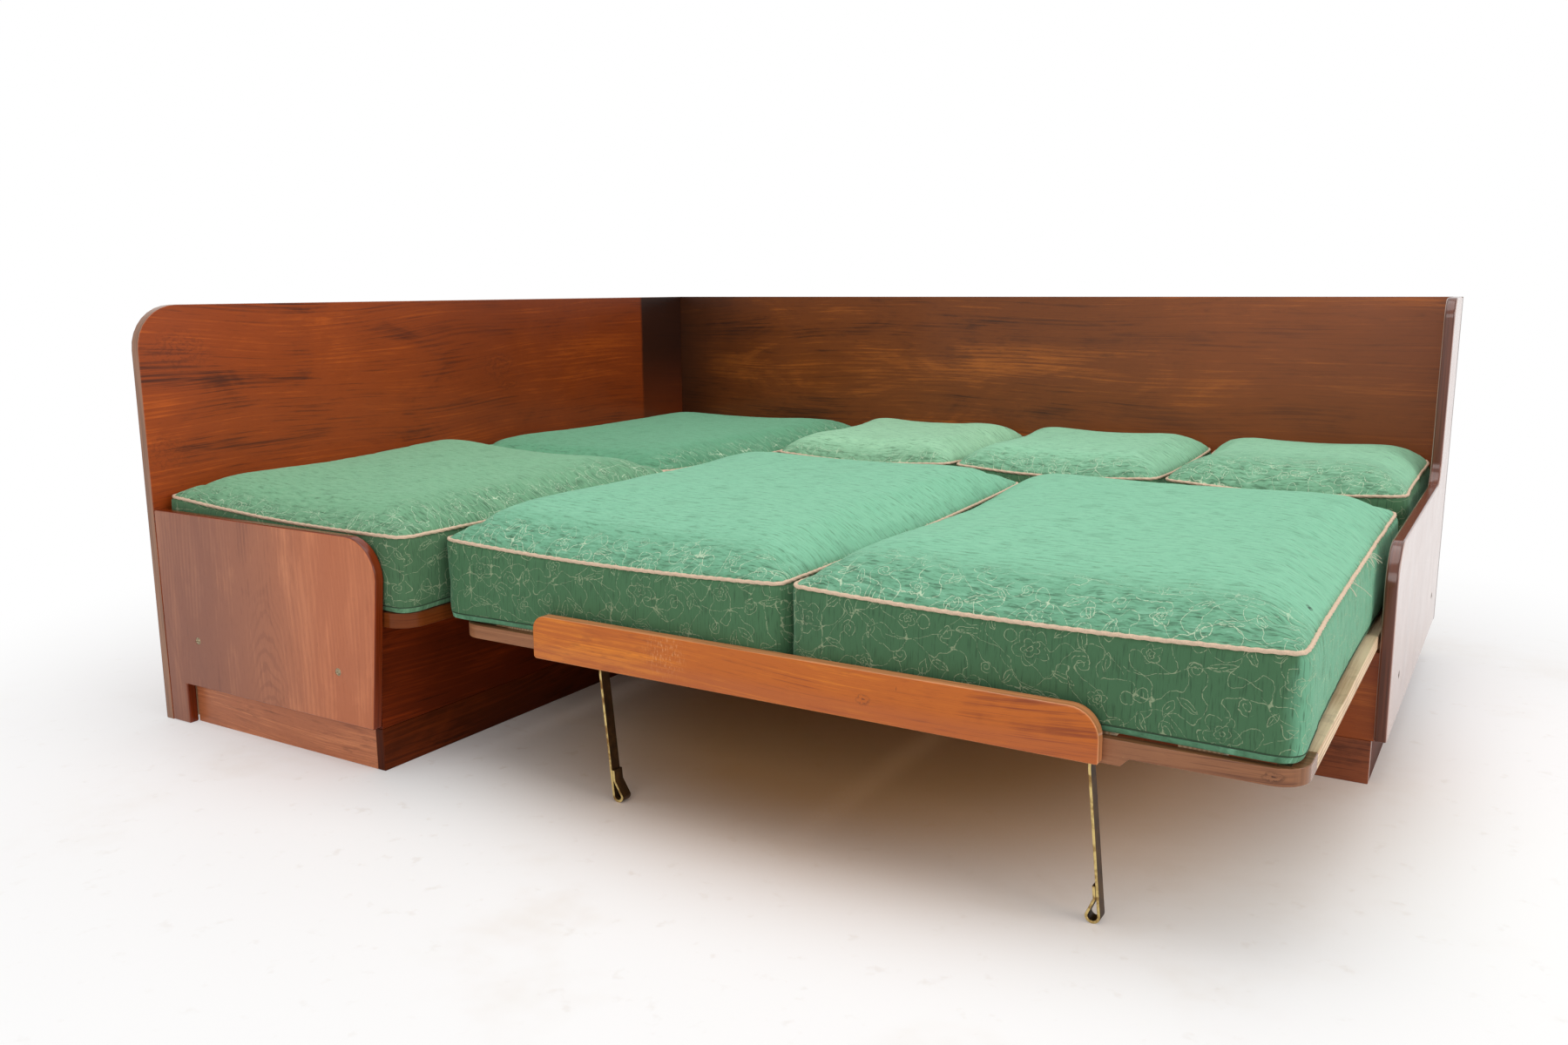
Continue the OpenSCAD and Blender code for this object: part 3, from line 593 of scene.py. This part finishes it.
def strap_brass():
    """Dull brass whose narrow edges are paler, partly rubbed bright and partly painted light."""
    s = Shader("aged_brass", Metallic=0.55, Roughness=0.46)
    spots = s.noise(s.point, 35.0, 4.0, 0.65)
    rubbed = s.noise(s.point, 60.0, 3.0, 0.6)
    dull = s.ramp(spots, (0.32, srgb(42, 27, 11)), (0.5, srgb(66, 43, 18)), (0.7, srgb(92, 64, 30)))
    # Narrow edges paler than the wide faces: partly rubbing, partly painted light.
    rubbed_and_lit = s.mix(s.step(rubbed, 0.42, 0.66), srgb(214, 190, 124), srgb(136, 100, 50))
    narrow = s.step(s.absolute(s.normal[Y]), 0.5, 0.9)
    s.colour(s.mix(narrow, dull, rubbed_and_lit))
    s.bump(spots, 0.12, 0.0005)
    return s.material


# Mesh helpers

WELD = 1e-5
FLAT_ANGLE, ARRIS_ANGLE, CREASE_ANGLE = math.radians(2), math.radians(30), math.radians(40)


def placed(name, data):
    """A new object of the scene, which shows the data."""
    item = bpy.data.objects.new(name, data)
    scene.collection.objects.link(item)
    return item


def mesh_of(bm, name):
    mesh = bpy.data.meshes.new(name)
    bm.to_mesh(mesh)
    bm.free()
    return mesh


def dress(mesh, material):
    mesh.materials.clear()
    mesh.materials.append(material)


def new_object(name, mesh, body, material):
    piece = placed(name, mesh)
    dress(mesh, material)
    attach(piece, body)
    return piece


def bevelled(node, material, width, segments=3, shortest=0.002):
    """A copy of a sharp CAD board with rounded arrises; it stands for its node. Edges
    shorter than the given length, such as round a screw hole, stay sharp."""
    mesh = frame["nodes"][node].data.copy()
    bm = bmesh.new()
    bm.from_mesh(mesh)
    bmesh.ops.remove_doubles(bm, verts=bm.verts, dist=WELD)
    bmesh.ops.dissolve_limit(bm, angle_limit=FLAT_ANGLE, verts=bm.verts, edges=bm.edges)
    sharp = [e for e in bm.edges if len(e.link_faces) == 2 and e.calc_length() > shortest
        and e.calc_face_angle(0) > ARRIS_ANGLE]
    bmesh.ops.bevel(bm, geom=sharp, offset=width, segments=segments, profile=0.5,
        affect="EDGES", clamp_overlap=True)
    for face in bm.faces:
        face.smooth = True
    bm.to_mesh(mesh)
    bm.free()
    mesh.set_sharp_from_angle(angle=CREASE_ANGLE)
    piece = new_object(node + "_shaped", mesh, BODY[node], material)
    weighted = piece.modifiers.new("weighted", "WEIGHTED_NORMAL")
    weighted.keep_sharp = True
    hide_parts(node)


def spans(loop):
    """The distance from each point of a closed loop to the next."""
    return [(loop[(i + 1) % len(loop)] - p).length for i, p in enumerate(loop)]


def tube(name, path, normals, radius, body, material, sides, lobes):
    """A closed tube along a loop on a surface; lobes twist round it as a laid cord's strands do."""
    bm = bmesh.new()
    rings = []
    run = 0.0
    count = len(path)
    lengths = spans(path)
    total = sum(lengths)
    turns = max(1, round(total / CORD_PITCH))
    for i, point in enumerate(path):
        tangent = (path[(i + 1) % count] - path[i - 1]).normalized()
        out = (normals[i] - tangent * normals[i].dot(tangent)).normalized()
        side = tangent.cross(out)
        twist = math.tau * turns * run / total
        ring = []
        for j in range(sides):
            angle = math.tau * j / sides
            swell = LOBE_DEPTH * math.cos(lobes * (angle - twist / lobes)) if lobes else 0
            r = radius * (1 + swell)
            ring.append(bm.verts.new(point + out * (r * math.cos(angle))
                + side * (r * math.sin(angle))))
        rings.append(ring)
        run += lengths[i]
    for i in range(count):
        a, b = rings[i], rings[(i + 1) % count]
        for j in range(sides):
            k = (j + 1) % sides
            bm.faces.new((a[j], b[j], b[k], a[k])).smooth = True
    bmesh.ops.recalc_face_normals(bm, faces=bm.faces)
    new_object(name, mesh_of(bm, name), body, material)


def resample(loop, step):
    """Evenly spaced points on a closed loop of points."""
    lengths = spans(loop)
    total = sum(lengths)
    count = max(8, int(total / step))
    points, i, passed = [], 0, 0.0
    for n in range(count):
        target = total * n / count
        while passed + lengths[i] < target and i < len(loop) - 1:
            passed += lengths[i]
            i += 1
        share = (target - passed) / max(lengths[i], 1e-9)
        points.append(loop[i].lerp(loop[(i + 1) % len(loop)], min(share, 1.0)))
    return points


def smooth_loop(points, rounds):
    for _ in range(rounds):
        points = [(points[i - 1] + 2 * p + points[(i + 1) % len(points)]) / 4
            for i, p in enumerate(points)]
    return points


def chain(edges):
    """The longest closed loop of vertices that these edges make."""
    links = {}
    for edge in edges:
        a, b = edge.verts
        links.setdefault(a, []).append(b)
        links.setdefault(b, []).append(a)
    best, seen = [], set()
    for start in links:
        if start in seen:
            continue
        loop, last, here = [], None, start
        while here not in seen:
            seen.add(here)
            loop.append(here)
            ahead = [v for v in links[here] if v is not last and v not in seen]
            if not ahead:
                break
            last, here = here, ahead[0]
        if len(loop) > len(best):
            best = loop
    return [v.co.copy() for v in best]


def top_seam(node):
    """The loop of a cushion's top seam: where the CAD solid's faces turn from side to top."""
    low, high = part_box(node)
    bm = bmesh.new()
    bm.from_mesh(frame["nodes"][node].data)
    bmesh.ops.remove_doubles(bm, verts=bm.verts, dist=WELD)
    upper = low[2] + SEAM_ABOVE * (high[2] - low[2])
    bm.normal_update()
    edges = [e for e in bm.edges if min(v.co.z for v in e.verts) > upper
        and len({face.normal.z > SEAM_LEVEL for face in e.link_faces}) == 2]
    loop = chain(edges)
    bm.free()
    return loop


def level_loop(mesh, height):
    """The outline where a level plane cuts the mesh."""
    bm = bmesh.new()
    bm.from_mesh(mesh)
    cut = bmesh.ops.bisect_plane(bm, geom=bm.verts[:] + bm.edges[:] + bm.faces[:],
        plane_co=(0, 0, height), plane_no=(0, 0, 1))
    loop = chain([e for e in cut["geom_cut"] if isinstance(e, bmesh.types.BMEdge)])
    bm.free()
    return loop


def baked(piece):
    """The piece's mesh with its modifiers applied, at the current frame."""
    depsgraph = bpy.context.evaluated_depsgraph_get()
    return bpy.data.meshes.new_from_object(piece.evaluated_get(depsgraph))


def swap_mesh(piece, mesh):
    old = piece.data
    piece.modifiers.clear()
    piece.data = mesh
    bpy.data.meshes.remove(old)


# Cushions

def tree_of(points):
    tree = KDTree(len(points))
    for i, point in enumerate(points):
        tree.insert(point, i)
    tree.balance()
    return tree


def swollen(piece, seam, base):
    """The cover under pressure, held at its seams and where it rests, as a cloth simulation
    whose movement is capped."""
    tree = tree_of(seam)
    group = piece.vertex_groups.new(name="held")
    for vertex in piece.data.vertices:
        gap = tree.find(vertex.co)[2]
        at_seam = max(0.0, 1.0 - gap / SEAM_PIN)
        at_base = max(0.0, 1.0 - (vertex.co.z - base - BASE_PIN) / BASE_FADE)
        group.add([vertex.index], min(1.0, max(at_seam, at_base)), "REPLACE")
    start = [v.co.copy() for v in piece.data.vertices]
    cloth = piece.modifiers.new("cloth", "CLOTH")
    for name, value in CLOTH.items():
        setattr(cloth.settings, name, value)
    cloth.settings.effector_weights.gravity = 0.0
    cloth.point_cache.frame_start = 1
    cloth.point_cache.frame_end = CLOTH_FRAMES
    for number in range(1, CLOTH_FRAMES + 1):
        scene.frame_set(number)
    result = baked(piece)
    for vertex, rest in zip(result.vertices, start):
        move = vertex.co - rest
        move *= min(1.0, CLOTH_CAP / max(move.length, 1e-6))
        vertex.co = rest + Vector((move.x * SIDE_SWELL, move.y * SIDE_SWELL, move.z))
    swap_mesh(piece, result)
    scene.frame_set(1)


def corners_of(loop):
    """The four points of a loop that lie furthest out on the diagonals."""
    found = []
    for x, y in ((1, 1), (-1, 1), (-1, -1), (1, -1)):
        corner = max(loop, key=lambda p: x * p.x + y * p.y)
        found.append((corner.copy(), Vector((x, y, EAR_RISE)).normalized()))
    return found


def eared(point, corners):
    """Where a place moves to when the corded corners stand out as small ears."""
    moved = point.copy()
    for corner, out in corners:
        moved += out * (EAR * math.exp(-((point - corner).length / EAR_REACH) ** 2))
    return moved


def refine(piece, seam, low, high, seed, fresh, lift):
    """Puckers beside the seam, the sag of long use on the top, and what the cover's material
    reads: the wear, which spares the fresh edges, and the height above the seam."""
    mesh = piece.data
    middle = (low + high) / 2
    tree = tree_of(seam)
    step = sum(spans(seam)) / len(seam)
    normals = [v.normal.copy() for v in mesh.vertices]
    worn = mesh.attributes.new("worn", "FLOAT", "POINT")
    lid = mesh.attributes.new("lid", "FLOAT", "POINT")
    wear, above = [], []
    for vertex, normal in zip(mesh.vertices, normals):
        near, index, gap = tree.find(vertex.co)
        upper = normal.z > UPPER_FACE
        pucker = noise.noise(Vector((index * step / PUCKER_RUN, gap / PUCKER_DEPTH, seed)))
        pucker *= math.exp(-gap / PUCKER_FADE)
        groove = -math.exp(-(gap / GROOVE_WIDTH) ** 2)
        sag = noise.noise(vertex.co / SAG_SPAN + Vector((seed, 0, 0))) if upper else 0.0
        dent = noise.noise(vertex.co / DENT_SPAN + Vector((0, seed, 0)))
        free = max(0.0, min(1.0, (vertex.co.z - low[2]) / FREE_HEIGHT))
        out = Vector((normal.x, normal.y, 0))
        if vertex.co.z < low[2] + LOWER_ROUND and 0.05 < out.length < 1.0:
            vertex.co += out.normalized() * (LOWER_FILL * LOWER_ROUND * (1 - out.length))
        inward = (seam[index - 1] - seam[(index + 1) % len(seam)]).cross(Vector((0, 0, 1)))
        inward = inward.normalized()
        inward *= math.copysign(1.0, inward.dot(middle - near))
        past = (vertex.co - near).dot(inward * LID_TILT[0] + Vector((0, 0, LID_TILT[1])))
        left = min((abs(vertex.co[axis] - (low, high)[end][axis]) / depth
            for axis, end, depth in fresh), default=1.0)
        if vertex.co.z < middle.z:
            past = low[2] + LOWER_SEAM - vertex.co.z
            left = UNDERSIDE
        above.append(max(-LID_REACH, min(LID_REACH, past)))
        wear.append(min(1.0, left, SEAM_WEAR + gap / SEAM_WEAR_FADE))
        if upper and lift:
            across = math.exp(-((vertex.co.x - low.x) / LIFT_REACH) ** 2)
            along = max(0.0, min(1.0, (high.y - vertex.co.y - LIFT_REACH) / LIFT_FADE))
            vertex.co.z += lift * across * along * (1 - math.exp(-(gap / LIFT_SEAM) ** 2))
        rise = PUCKER * pucker + GROOVE * groove + SAG * sag + DENT * dent
        vertex.co += normal * (rise * free)
    worn.data.foreach_set("value", wear)
    lid.data.foreach_set("value", above)


def cushion(node, cover, seed, fresh, lift=0.0):
    """A corded cushion that stands for its node. Its fresh edges, each an axis, an end and a
    depth, still show the vine; lift raises its crown along its left side."""
    body, slot = BODY[node], SLOT[node]
    low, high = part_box(node)
    piece = new_object(node + "_cover", frame["nodes"][node].data.copy(), body, cover)
    seam = smooth_loop(resample(top_seam(node), SEAM_STEP), 4)
    corners = corners_of(seam)
    voxels = piece.modifiers.new("voxels", "REMESH")
    voxels.mode = "VOXEL"
    voxels.voxel_size = VOXEL
    soften = piece.modifiers.new("soften", "SMOOTH")
    soften.factor = 0.5
    soften.iterations = 6
    swap_mesh(piece, baked(piece))
    swollen(piece, seam, low[2])
    finer = piece.modifiers.new("finer", "SUBSURF")
    finer.levels = finer.render_levels = 1
    swap_mesh(piece, baked(piece))
    dress(piece.data, cover)
    refine(piece, seam, low, high, seed, fresh, lift)
    for vertex in piece.data.vertices:
        vertex.co = eared(vertex.co, corners)
    seam = [eared(point, corners) for point in seam]
    for face in piece.data.polygons:
        face.use_smooth = True
    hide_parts(node)
    surface = BVHTree.FromPolygons([v.co for v in piece.data.vertices],
        [p.vertices for p in piece.data.polygons])
    path, outs = [], []
    for i, point in enumerate(resample(seam, CORD_STEP)):
        place, normal, _, _ = surface.find_nearest(point)
        wobble = noise.noise(Vector((i * 0.05, seed, 0))) * CORD_WOBBLE
        path.append(place + normal * (CORD_LIFT * CORD_R + wobble))
        outs.append(normal)
    path = smooth_loop(path, 3)
    outs = [o.normalized() for o in smooth_loop(outs, 6)]
    tube(node + "_cord", path, outs, CORD_R, body, cord_beige, 10, 3)
    # The hem: a thin dark tube on the lower seam, painted shade of the seam's groove.
    hem = resample(level_loop(piece.data, low[2] + LOWER_SEAM), HEM_STEP)
    hem_outs = [surface.find_nearest(p)[1] for p in hem]
    hem_outs = [o.normalized() for o in smooth_loop(hem_outs, 4)]
    hem = [p + o * (HEM_LIFT * HEM_R) for p, o in zip(smooth_loop(hem, 3), hem_outs)]
    tube(node + "_hem", hem, hem_outs, HEM_R, body, hem_seam_shade, 6, 0)
    return path, outs


FIBRE_R = 0.00035
FIBRE_REACH, FIBRE_DRIFT, FIBRE_DROOP = 0.012, 0.030, Vector((0.004, 0, -0.018))


def frayed(name, path, outs, place, count, body, material, seed):
    """Loose fibres of a worn cord, as fine curved hairs."""
    start = min(range(len(path)), key=lambda i: (path[i] - Vector(place)).length)
    curve = bpy.data.curves.new(name, "CURVE")
    curve.dimensions = "3D"
    curve.bevel_depth = FIBRE_R
    for n in range(count):
        i = (start + n * 2 - count) % len(path)
        drift = Vector((noise.noise(Vector((n * 1.7, seed, 0))),
            noise.noise(Vector((n * 1.3, seed, 5))), noise.noise(Vector((n * 2.1, seed, 9)))))
        spline = curve.splines.new("POLY")
        spline.points.add(4)
        for k in range(5):
            t = k / 4
            reach = outs[i] * (FIBRE_REACH * t) + drift * (FIBRE_DRIFT * t) + FIBRE_DROOP * t * t
            spline.points[k].co = (*(path[i] + reach), 1.0)
    hair = placed(name, curve)
    curve.materials.append(material)
    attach(hair, body)


# Small hardware: profiles are pairs of a radius and a height over the board

CUP_WASHER = ((0.0075, -0.0015), (0.0075, 0.0001), (0.0066, 0.0007), (0.0052, 0.0003),
    (0.0050, -0.0005))
SCREW = ((0.0030, -0.0350), (0.0030, -0.0020), (0.0047, -0.0004), (0.0044, 0.0004),
    (0.0030, 0.0010), (0.0012, 0.0013))
SLOT_W, SLOT_L, SLOT_Z, SLOT_TURN = 0.0011, 0.012, 0.0012, 0.7


def lathe(bm, profile, centre, axis, sides=28):
    """Turns a profile of (radius, height) pairs round an axis through the centre."""
    axis = Vector(axis)
    u = axis.orthogonal().normalized()
    v = axis.cross(u)
    rings = []
    for radius, height in profile:
        rings.append([bm.verts.new(Vector(centre) + axis * height
            + (u * math.cos(math.tau * j / sides) + v * math.sin(math.tau * j / sides)) * radius)
            for j in range(sides)])
    for a, b in zip(rings, rings[1:]):
        for j in range(sides):
            k = (j + 1) % sides
            bm.faces.new((a[j], a[k], b[k], b[j])).smooth = True
    for ring in (rings[0], rings[-1]):
        bm.faces.new(ring)


def screw_set(node, centres, axis, material):
    """Raised slotted screw heads, each in its cup washer, on their shanks."""
    bm = bmesh.new()
    for centre in centres:
        lathe(bm, CUP_WASHER, centre, axis)
        lathe(bm, SCREW, centre, axis)
    bmesh.ops.recalc_face_normals(bm, faces=bm.faces)
    name = node + "_turned"
    piece = new_object(name, mesh_of(bm, name), BODY[node], material)
    cut = bmesh.new()
    size = Matrix.Diagonal((SLOT_W, SLOT_L, SLOT_W, 1.0))
    for i, centre in enumerate(centres):
        turn = Matrix.Rotation(SLOT_TURN + i, 4, Vector(axis))
        spot = Matrix.Translation(Vector(centre) + Vector(axis) * SLOT_Z)
        bmesh.ops.create_cube(cut, size=1.0, matrix=spot @ turn @ size)
    cutter = placed(node + "_cutter", mesh_of(cut, node + "_cutter"))
    boolean = piece.modifiers.new("slot", "BOOLEAN")
    boolean.object = cutter
    boolean.solver = "EXACT"
    swap_mesh(piece, baked(piece))
    dress(piece.data, material)
    bpy.data.objects.remove(cutter)
    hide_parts(node)


# Finishes

RED = srgb(192, 88, 28), srgb(152, 64, 20), srgb(84, 34, 16)
BROWN = srgb(172, 92, 34), srgb(120, 60, 22), srgb(64, 31, 14)
PINK = srgb(204, 132, 92), srgb(170, 104, 72), srgb(114, 62, 42)

finish = {
    "left_back_panel": veneer("left_panel", Y, X, *RED, 0.16, 1.2,
        edge=srgb(158, 112, 84), extra=left_figure_and_shade),
    "rear_back_panel": veneer("rear_panel", X, Y, *BROWN, 0.45, 0.8,
        edge=srgb(96, 56, 34), seed=3.0, extra=rear_shade),
    "left_arm_panel": veneer("left_arm", Z, Y, *PINK, 0.25, 1.0,
        edge=srgb(122, 46, 14), seed=7.0, extra=arm_figure, lined=0.4),
    # The right arm's pale broad faces are a painted reflection.
    "right_arm_panel": veneer("right_arm", Z, X, *PINK, 0.25, 1.0,
        gloss=0.24, coat=0.5, edge=srgb(106, 56, 38), seed=11.0, extra=painted_glare),
    "front_board": veneer("front_board", X, Y, srgb(224, 130, 26), srgb(192, 98, 16),
        srgb(138, 58, 12), 0.35, 0.8, gloss=0.32, coat=0.2, edge=srgb(220, 144, 92), seed=13.0,
        extra=scuffs),
    "pullout_front_rail": veneer("front_rail", X, Y, srgb(176, 122, 84),
        srgb(148, 98, 66), srgb(98, 58, 40), 0.5, 0.6, gloss=0.50, coat=0.05, seed=17.0,
        edge=srgb(142, 94, 62), extra=chipped),
    "left_deck": veneer("deck", Y, Z, srgb(150, 84, 46), srgb(118, 60, 32),
        srgb(72, 34, 20), 0.4, 0.6, gloss=0.42, coat=0.05, edge=srgb(114, 56, 22), seed=19.0,
        shine=0.12),
}
plinth_x = veneer("plinth_x", X, Y, srgb(214, 136, 88), srgb(180, 106, 68),
    srgb(112, 60, 38), 0.5, 0.7, seed=23.0)
# Plinth sides that face the right: the plinth veneer darkened as painted shade.
plinth_side_shaded = veneer("plinth_side_shaded", Y, X, srgb(108, 43, 9), srgb(78, 29, 5),
    srgb(44, 16, 3), 0.5, 0.7, gloss=0.5, coat=0.0, seed=29.0, shine=0.08)
plinth_dark = veneer("plinth_dark", X, Y, srgb(180, 103, 61), srgb(147, 78, 46),
    srgb(88, 42, 24), 0.5, 0.7, seed=41.0)
box_x = veneer("box_x", X, Y, srgb(200, 108, 44), srgb(162, 78, 30),
    srgb(104, 46, 20), 0.4, 0.8, seed=31.0)
# Box side that faces the right: the box veneer darkened as painted shade.
box_y = veneer("box_y", Y, X, srgb(130, 48, 10), srgb(92, 31, 6),
    srgb(46, 15, 4), 0.5, 0.9, gloss=0.5, coat=0.0, seed=37.0, shine=0.08)
slat_pine = pine("pine_slats", Y, Z, srgb(226, 190, 150))
rail_pine = pine("pine_rails", Y, X, srgb(238, 212, 176))
cross_pine = pine("pine_cross", X, Y, srgb(214, 176, 134))
board_pine = pine("pine_boards", Y, Z, srgb(206, 166, 122))
brass = strap_brass()
steel = plain_material("zinc_steel", srgb(140, 138, 132), 0.42, 1.0, 0.3, 50.0)
screw_steel = plain_material("screw_steel", srgb(160, 144, 116), 0.40, 0.8, 0.4, 300.0)
screw_dark = plain_material("screw_dark", srgb(96, 84, 72), 0.45, 0.6, 0.4, 300.0)
cord_beige = plain_material("cord_beige", srgb(214, 186, 160), 0.85, 0.0, 0.14, 500.0)
cord_frayed = plain_material("cord_fibres", srgb(216, 206, 184), 0.9, 0.0, 0.1, 500.0)
# Dark hem: painted shade of the lower seam's groove.
hem_seam_shade = plain_material("hem_seam_shade", srgb(42, 66, 44), 0.9, 0.0, 0.2, 300.0)

BAND, TOP = srgb(73, 114, 79), srgb(119, 183, 149)
green = upholstery("green", BAND, TOP)
# This cover's band is lightened on its right-hand side as painted light.
green_torn = upholstery("green_torn", srgb(70, 109, 76), TOP, 2.0, side_light=0.8,
    slit=(1.064, -0.653))
green_left = upholstery("green_left", srgb(73, 109, 76), srgb(118, 171, 133), 4.0, 0.3)
green_corner = upholstery("green_corner", BAND, srgb(96, 158, 122), 6.0, 0.3)
green_faded = upholstery("green_faded", BAND, srgb(140, 194, 156), 8.0, 0.8)
green_rear = upholstery("green_rear", BAND, srgb(134, 192, 156), 10.0, 0.6)

# Boards

ROUND_ARRIS, SOFT_ARRIS, STRAP_ARRIS = 0.0045, 0.0016, 0.0007
for node in ("left_arm_panel", "right_arm_panel", "front_board"):
    bevelled(node, finish[node], ROUND_ARRIS, 4)
for node in ("left_back_panel", "rear_back_panel", "pullout_front_rail", "left_deck"):
    bevelled(node, finish[node], SOFT_ARRIS)
for node, material in (("left_plinth_front", plinth_x), ("right_plinth_front", plinth_dark),
        ("left_plinth_side", plinth_side_shaded), ("left_box_side", box_y), ("left_box_front", box_x),
        ("right_box_front", box_x), ("right_plinth_end", plinth_side_shaded),
        ("pullout_left_rail", rail_pine), ("pullout_right_rail", rail_pine),
        ("pullout_slats", slat_pine), ("fixed_slats", slat_pine),
        ("pullout_rear_rail", cross_pine), ("slat_bearer", cross_pine)):
    bevelled(node, material, SOFT_ARRIS)
for material, group in (
        (cross_pine, ("rear_plinth", "pullout_ledgers", "pullout_corner_blocks", "rear_ledger",
            "stop_blocks", "front_board_dowels")),
        (board_pine, ("left_plinth_back", "left_box_floor", "right_box_floor", "deck_ledger",
            "deck_battens", "corner_block", "right_box_end", "runner_board", "box_dividers")),
        (steel, ("leg_brackets", "leg_pins"))):
    for node in group:
        dress(frame["nodes"][node].data, material)
for node in ("left_leg", "right_leg"):
    bevelled(node, brass, STRAP_ARRIS, 2, 0.0)

# Screws of the arm panels

left_low, left_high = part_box("left_arm_screws")
right_low, right_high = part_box("right_arm_screws")
head_r = (left_high[2] - left_low[2]) / 2
screw_set("left_arm_screws", [(x, left_low[1], left_low[2] + head_r)
    for x in (left_low[0] + head_r, left_high[0] - head_r)], (0, -1, 0), screw_steel)
screw_set("right_arm_screws", [(right_high[0], y, right_low[2] + head_r)
    for y in (right_low[1] + head_r, right_high[1] - head_r)], (1, 0, 0), screw_dark)

# Upholstery

FRONT, RIGHT = (Y, 0), (X, 1)
cushion("left_front_cushion", green_left, 1.3, [(*RIGHT, 0.14), (*FRONT, 0.07)])
cushion("left_rear_cushion", green_corner, 2.7, [(*RIGHT, 0.10)])
cushion("seat_cushion_left", green, 4.1, [(*FRONT, 0.11)], lift=0.008)
right_path, right_outs = cushion("seat_cushion_right", green_torn, 5.9, [(*FRONT, 0.15)])
cushion("back_cushion_left", green_faded, 7.3, [(*FRONT, 0.06)])
cushion("back_cushion_middle", green_rear, 8.9, [(*FRONT, 0.08)])
cushion("back_cushion_right", green_rear, 9.7, [(*FRONT, 0.24)])
for name, place, count, seed in (("fray_far", (1.086, -0.159, 0.44), 9, 3.0),
        ("fray_near", (1.086, -0.377, 0.44), 7, 8.0)):
    frayed(name, right_path, right_outs, place, count, "pull_out", cord_frayed,
        seed)

# Floor, lamps and camera

UNDER_BED = (0.35, -0.15, 0.0)
FLOOR_REACH = 9.0
WORLD_LIGHT = 0.36


def floor_material():
    """A pale floor that keeps the object's shadow, with painted warm shade where the bed stands
    over it, and that turns into the white backdrop far away."""
    s = Shader("floor_pale", Roughness=0.55, Specular_IOR_Level=0.2)
    place = s.point
    marks = s.noise(place, 1.6, 5.0, 0.65)
    specks = s.noise(place, 22.0, 3.0, 0.6)
    tone = s.mix(s.step(marks, 0.50, 0.72), srgb(251, 249, 248), srgb(240, 232, 224))
    tone = s.tint(tone, srgb(214, 200, 186), s.step(specks, 0.60, 0.74), 0.30)
    flat = s.length(place)
    under = s.length(s.offset(place, UNDER_BED))
    # Painted shade: warm brown on the floor where ambient occlusion finds the bed overhead.
    open_sky = s.add("ShaderNodeAmbientOcclusion", {"Distance": 1.0}, samples=2).outputs["AO"]
    painted_bed_shade = s.scale(s.step(under, 1.10, 0.45), s.step(open_sky, 0.84, 0.50))
    s.colour(s.tint(tone, srgb(204, 148, 84), painted_bed_shade, 0.88))
    s.bump(specks, 0.08, 0.001)
    far = s.step(flat, 0.6, 2.4)
    white = s.add("ShaderNodeEmission", {"Color": (1, 1, 1, 1), "Strength": 1.0})
    blend = s.add("ShaderNodeMixShader", {0: far, 1: s.surface.outputs[0], 2: white.outputs[0]})
    s.links.new(blend.outputs[0], s.nodes["Material Output"].inputs["Surface"])
    return s.material


bm = bmesh.new()
bmesh.ops.create_grid(bm, x_segments=40, y_segments=40, size=FLOOR_REACH)
floor = placed("floor", mesh_of(bm, "floor"))
floor.data.materials.append(floor_material())


def area_lamp(name, place, target, size, watts):
    light = bpy.data.lights.new(name, "AREA")
    light.shape = "RECTANGLE"
    light.size, light.size_y = size
    light.energy = watts
    lamp = placed(name, light)
    lamp.location = place
    lamp.rotation_euler = (Vector(target) - Vector(place)).to_track_quat("-Z", "Y").to_euler()


area_lamp("ceiling", (0.3, -0.2, 3.4), (0.1, 0.1, 0.3), (3.2, 3.2), 74)
area_lamp("front", (0.6, -4.2, 1.9), (0.0, 0.0, 0.35), (2.4, 1.8), 34)
area_lamp("right", (4.2, -0.6, 1.8), (0.4, 0.0, 0.3), (2.4, 1.6), 50)

scene.world = world = bpy.data.worlds.new("white_room")
world.use_nodes = True
nodes, links = world.node_tree.nodes, world.node_tree.links
rays = nodes.new("ShaderNodeLightPath").outputs
seen = rays["Is Camera Ray"]
for ray in ("Is Glossy Ray", "Is Transmission Ray"):
    either = nodes.new("ShaderNodeMath")
    either.operation = "MAXIMUM"
    links.new(seen, either.inputs[0])
    links.new(rays[ray], either.inputs[1])
    seen = either.outputs[0]
strength = nodes.new("ShaderNodeMapRange")
strength.inputs["To Min"].default_value = WORLD_LIGHT
links.new(seen, strength.inputs["Value"])
links.new(strength.outputs[0], nodes["Background"].inputs["Strength"])
nodes["Background"].inputs["Color"].default_value = (1, 1, 1, 1)

forward = Vector((-math.sin(CAMERA_YAW) * math.cos(CAMERA_PITCH),
    math.cos(CAMERA_YAW) * math.cos(CAMERA_PITCH), math.sin(CAMERA_PITCH)))
right = Vector((math.cos(CAMERA_YAW), math.sin(CAMERA_YAW), 0))
up = right.cross(forward)
rolled_right = right * math.cos(CAMERA_ROLL) + up * math.sin(CAMERA_ROLL)
rolled_up = up * math.cos(CAMERA_ROLL) - right * math.sin(CAMERA_ROLL)
camera_data = bpy.data.cameras.new("camera")
camera_data.lens = CAMERA_LENS
camera_data.sensor_width = 36.0
camera = placed("camera", camera_data)
camera.matrix_world = Matrix.Translation(CAMERA_PLACE) @ Matrix(
    (rolled_right, rolled_up, -forward)).transposed().to_4x4()
scene.camera = camera
scene.view_settings.view_transform = "Standard"
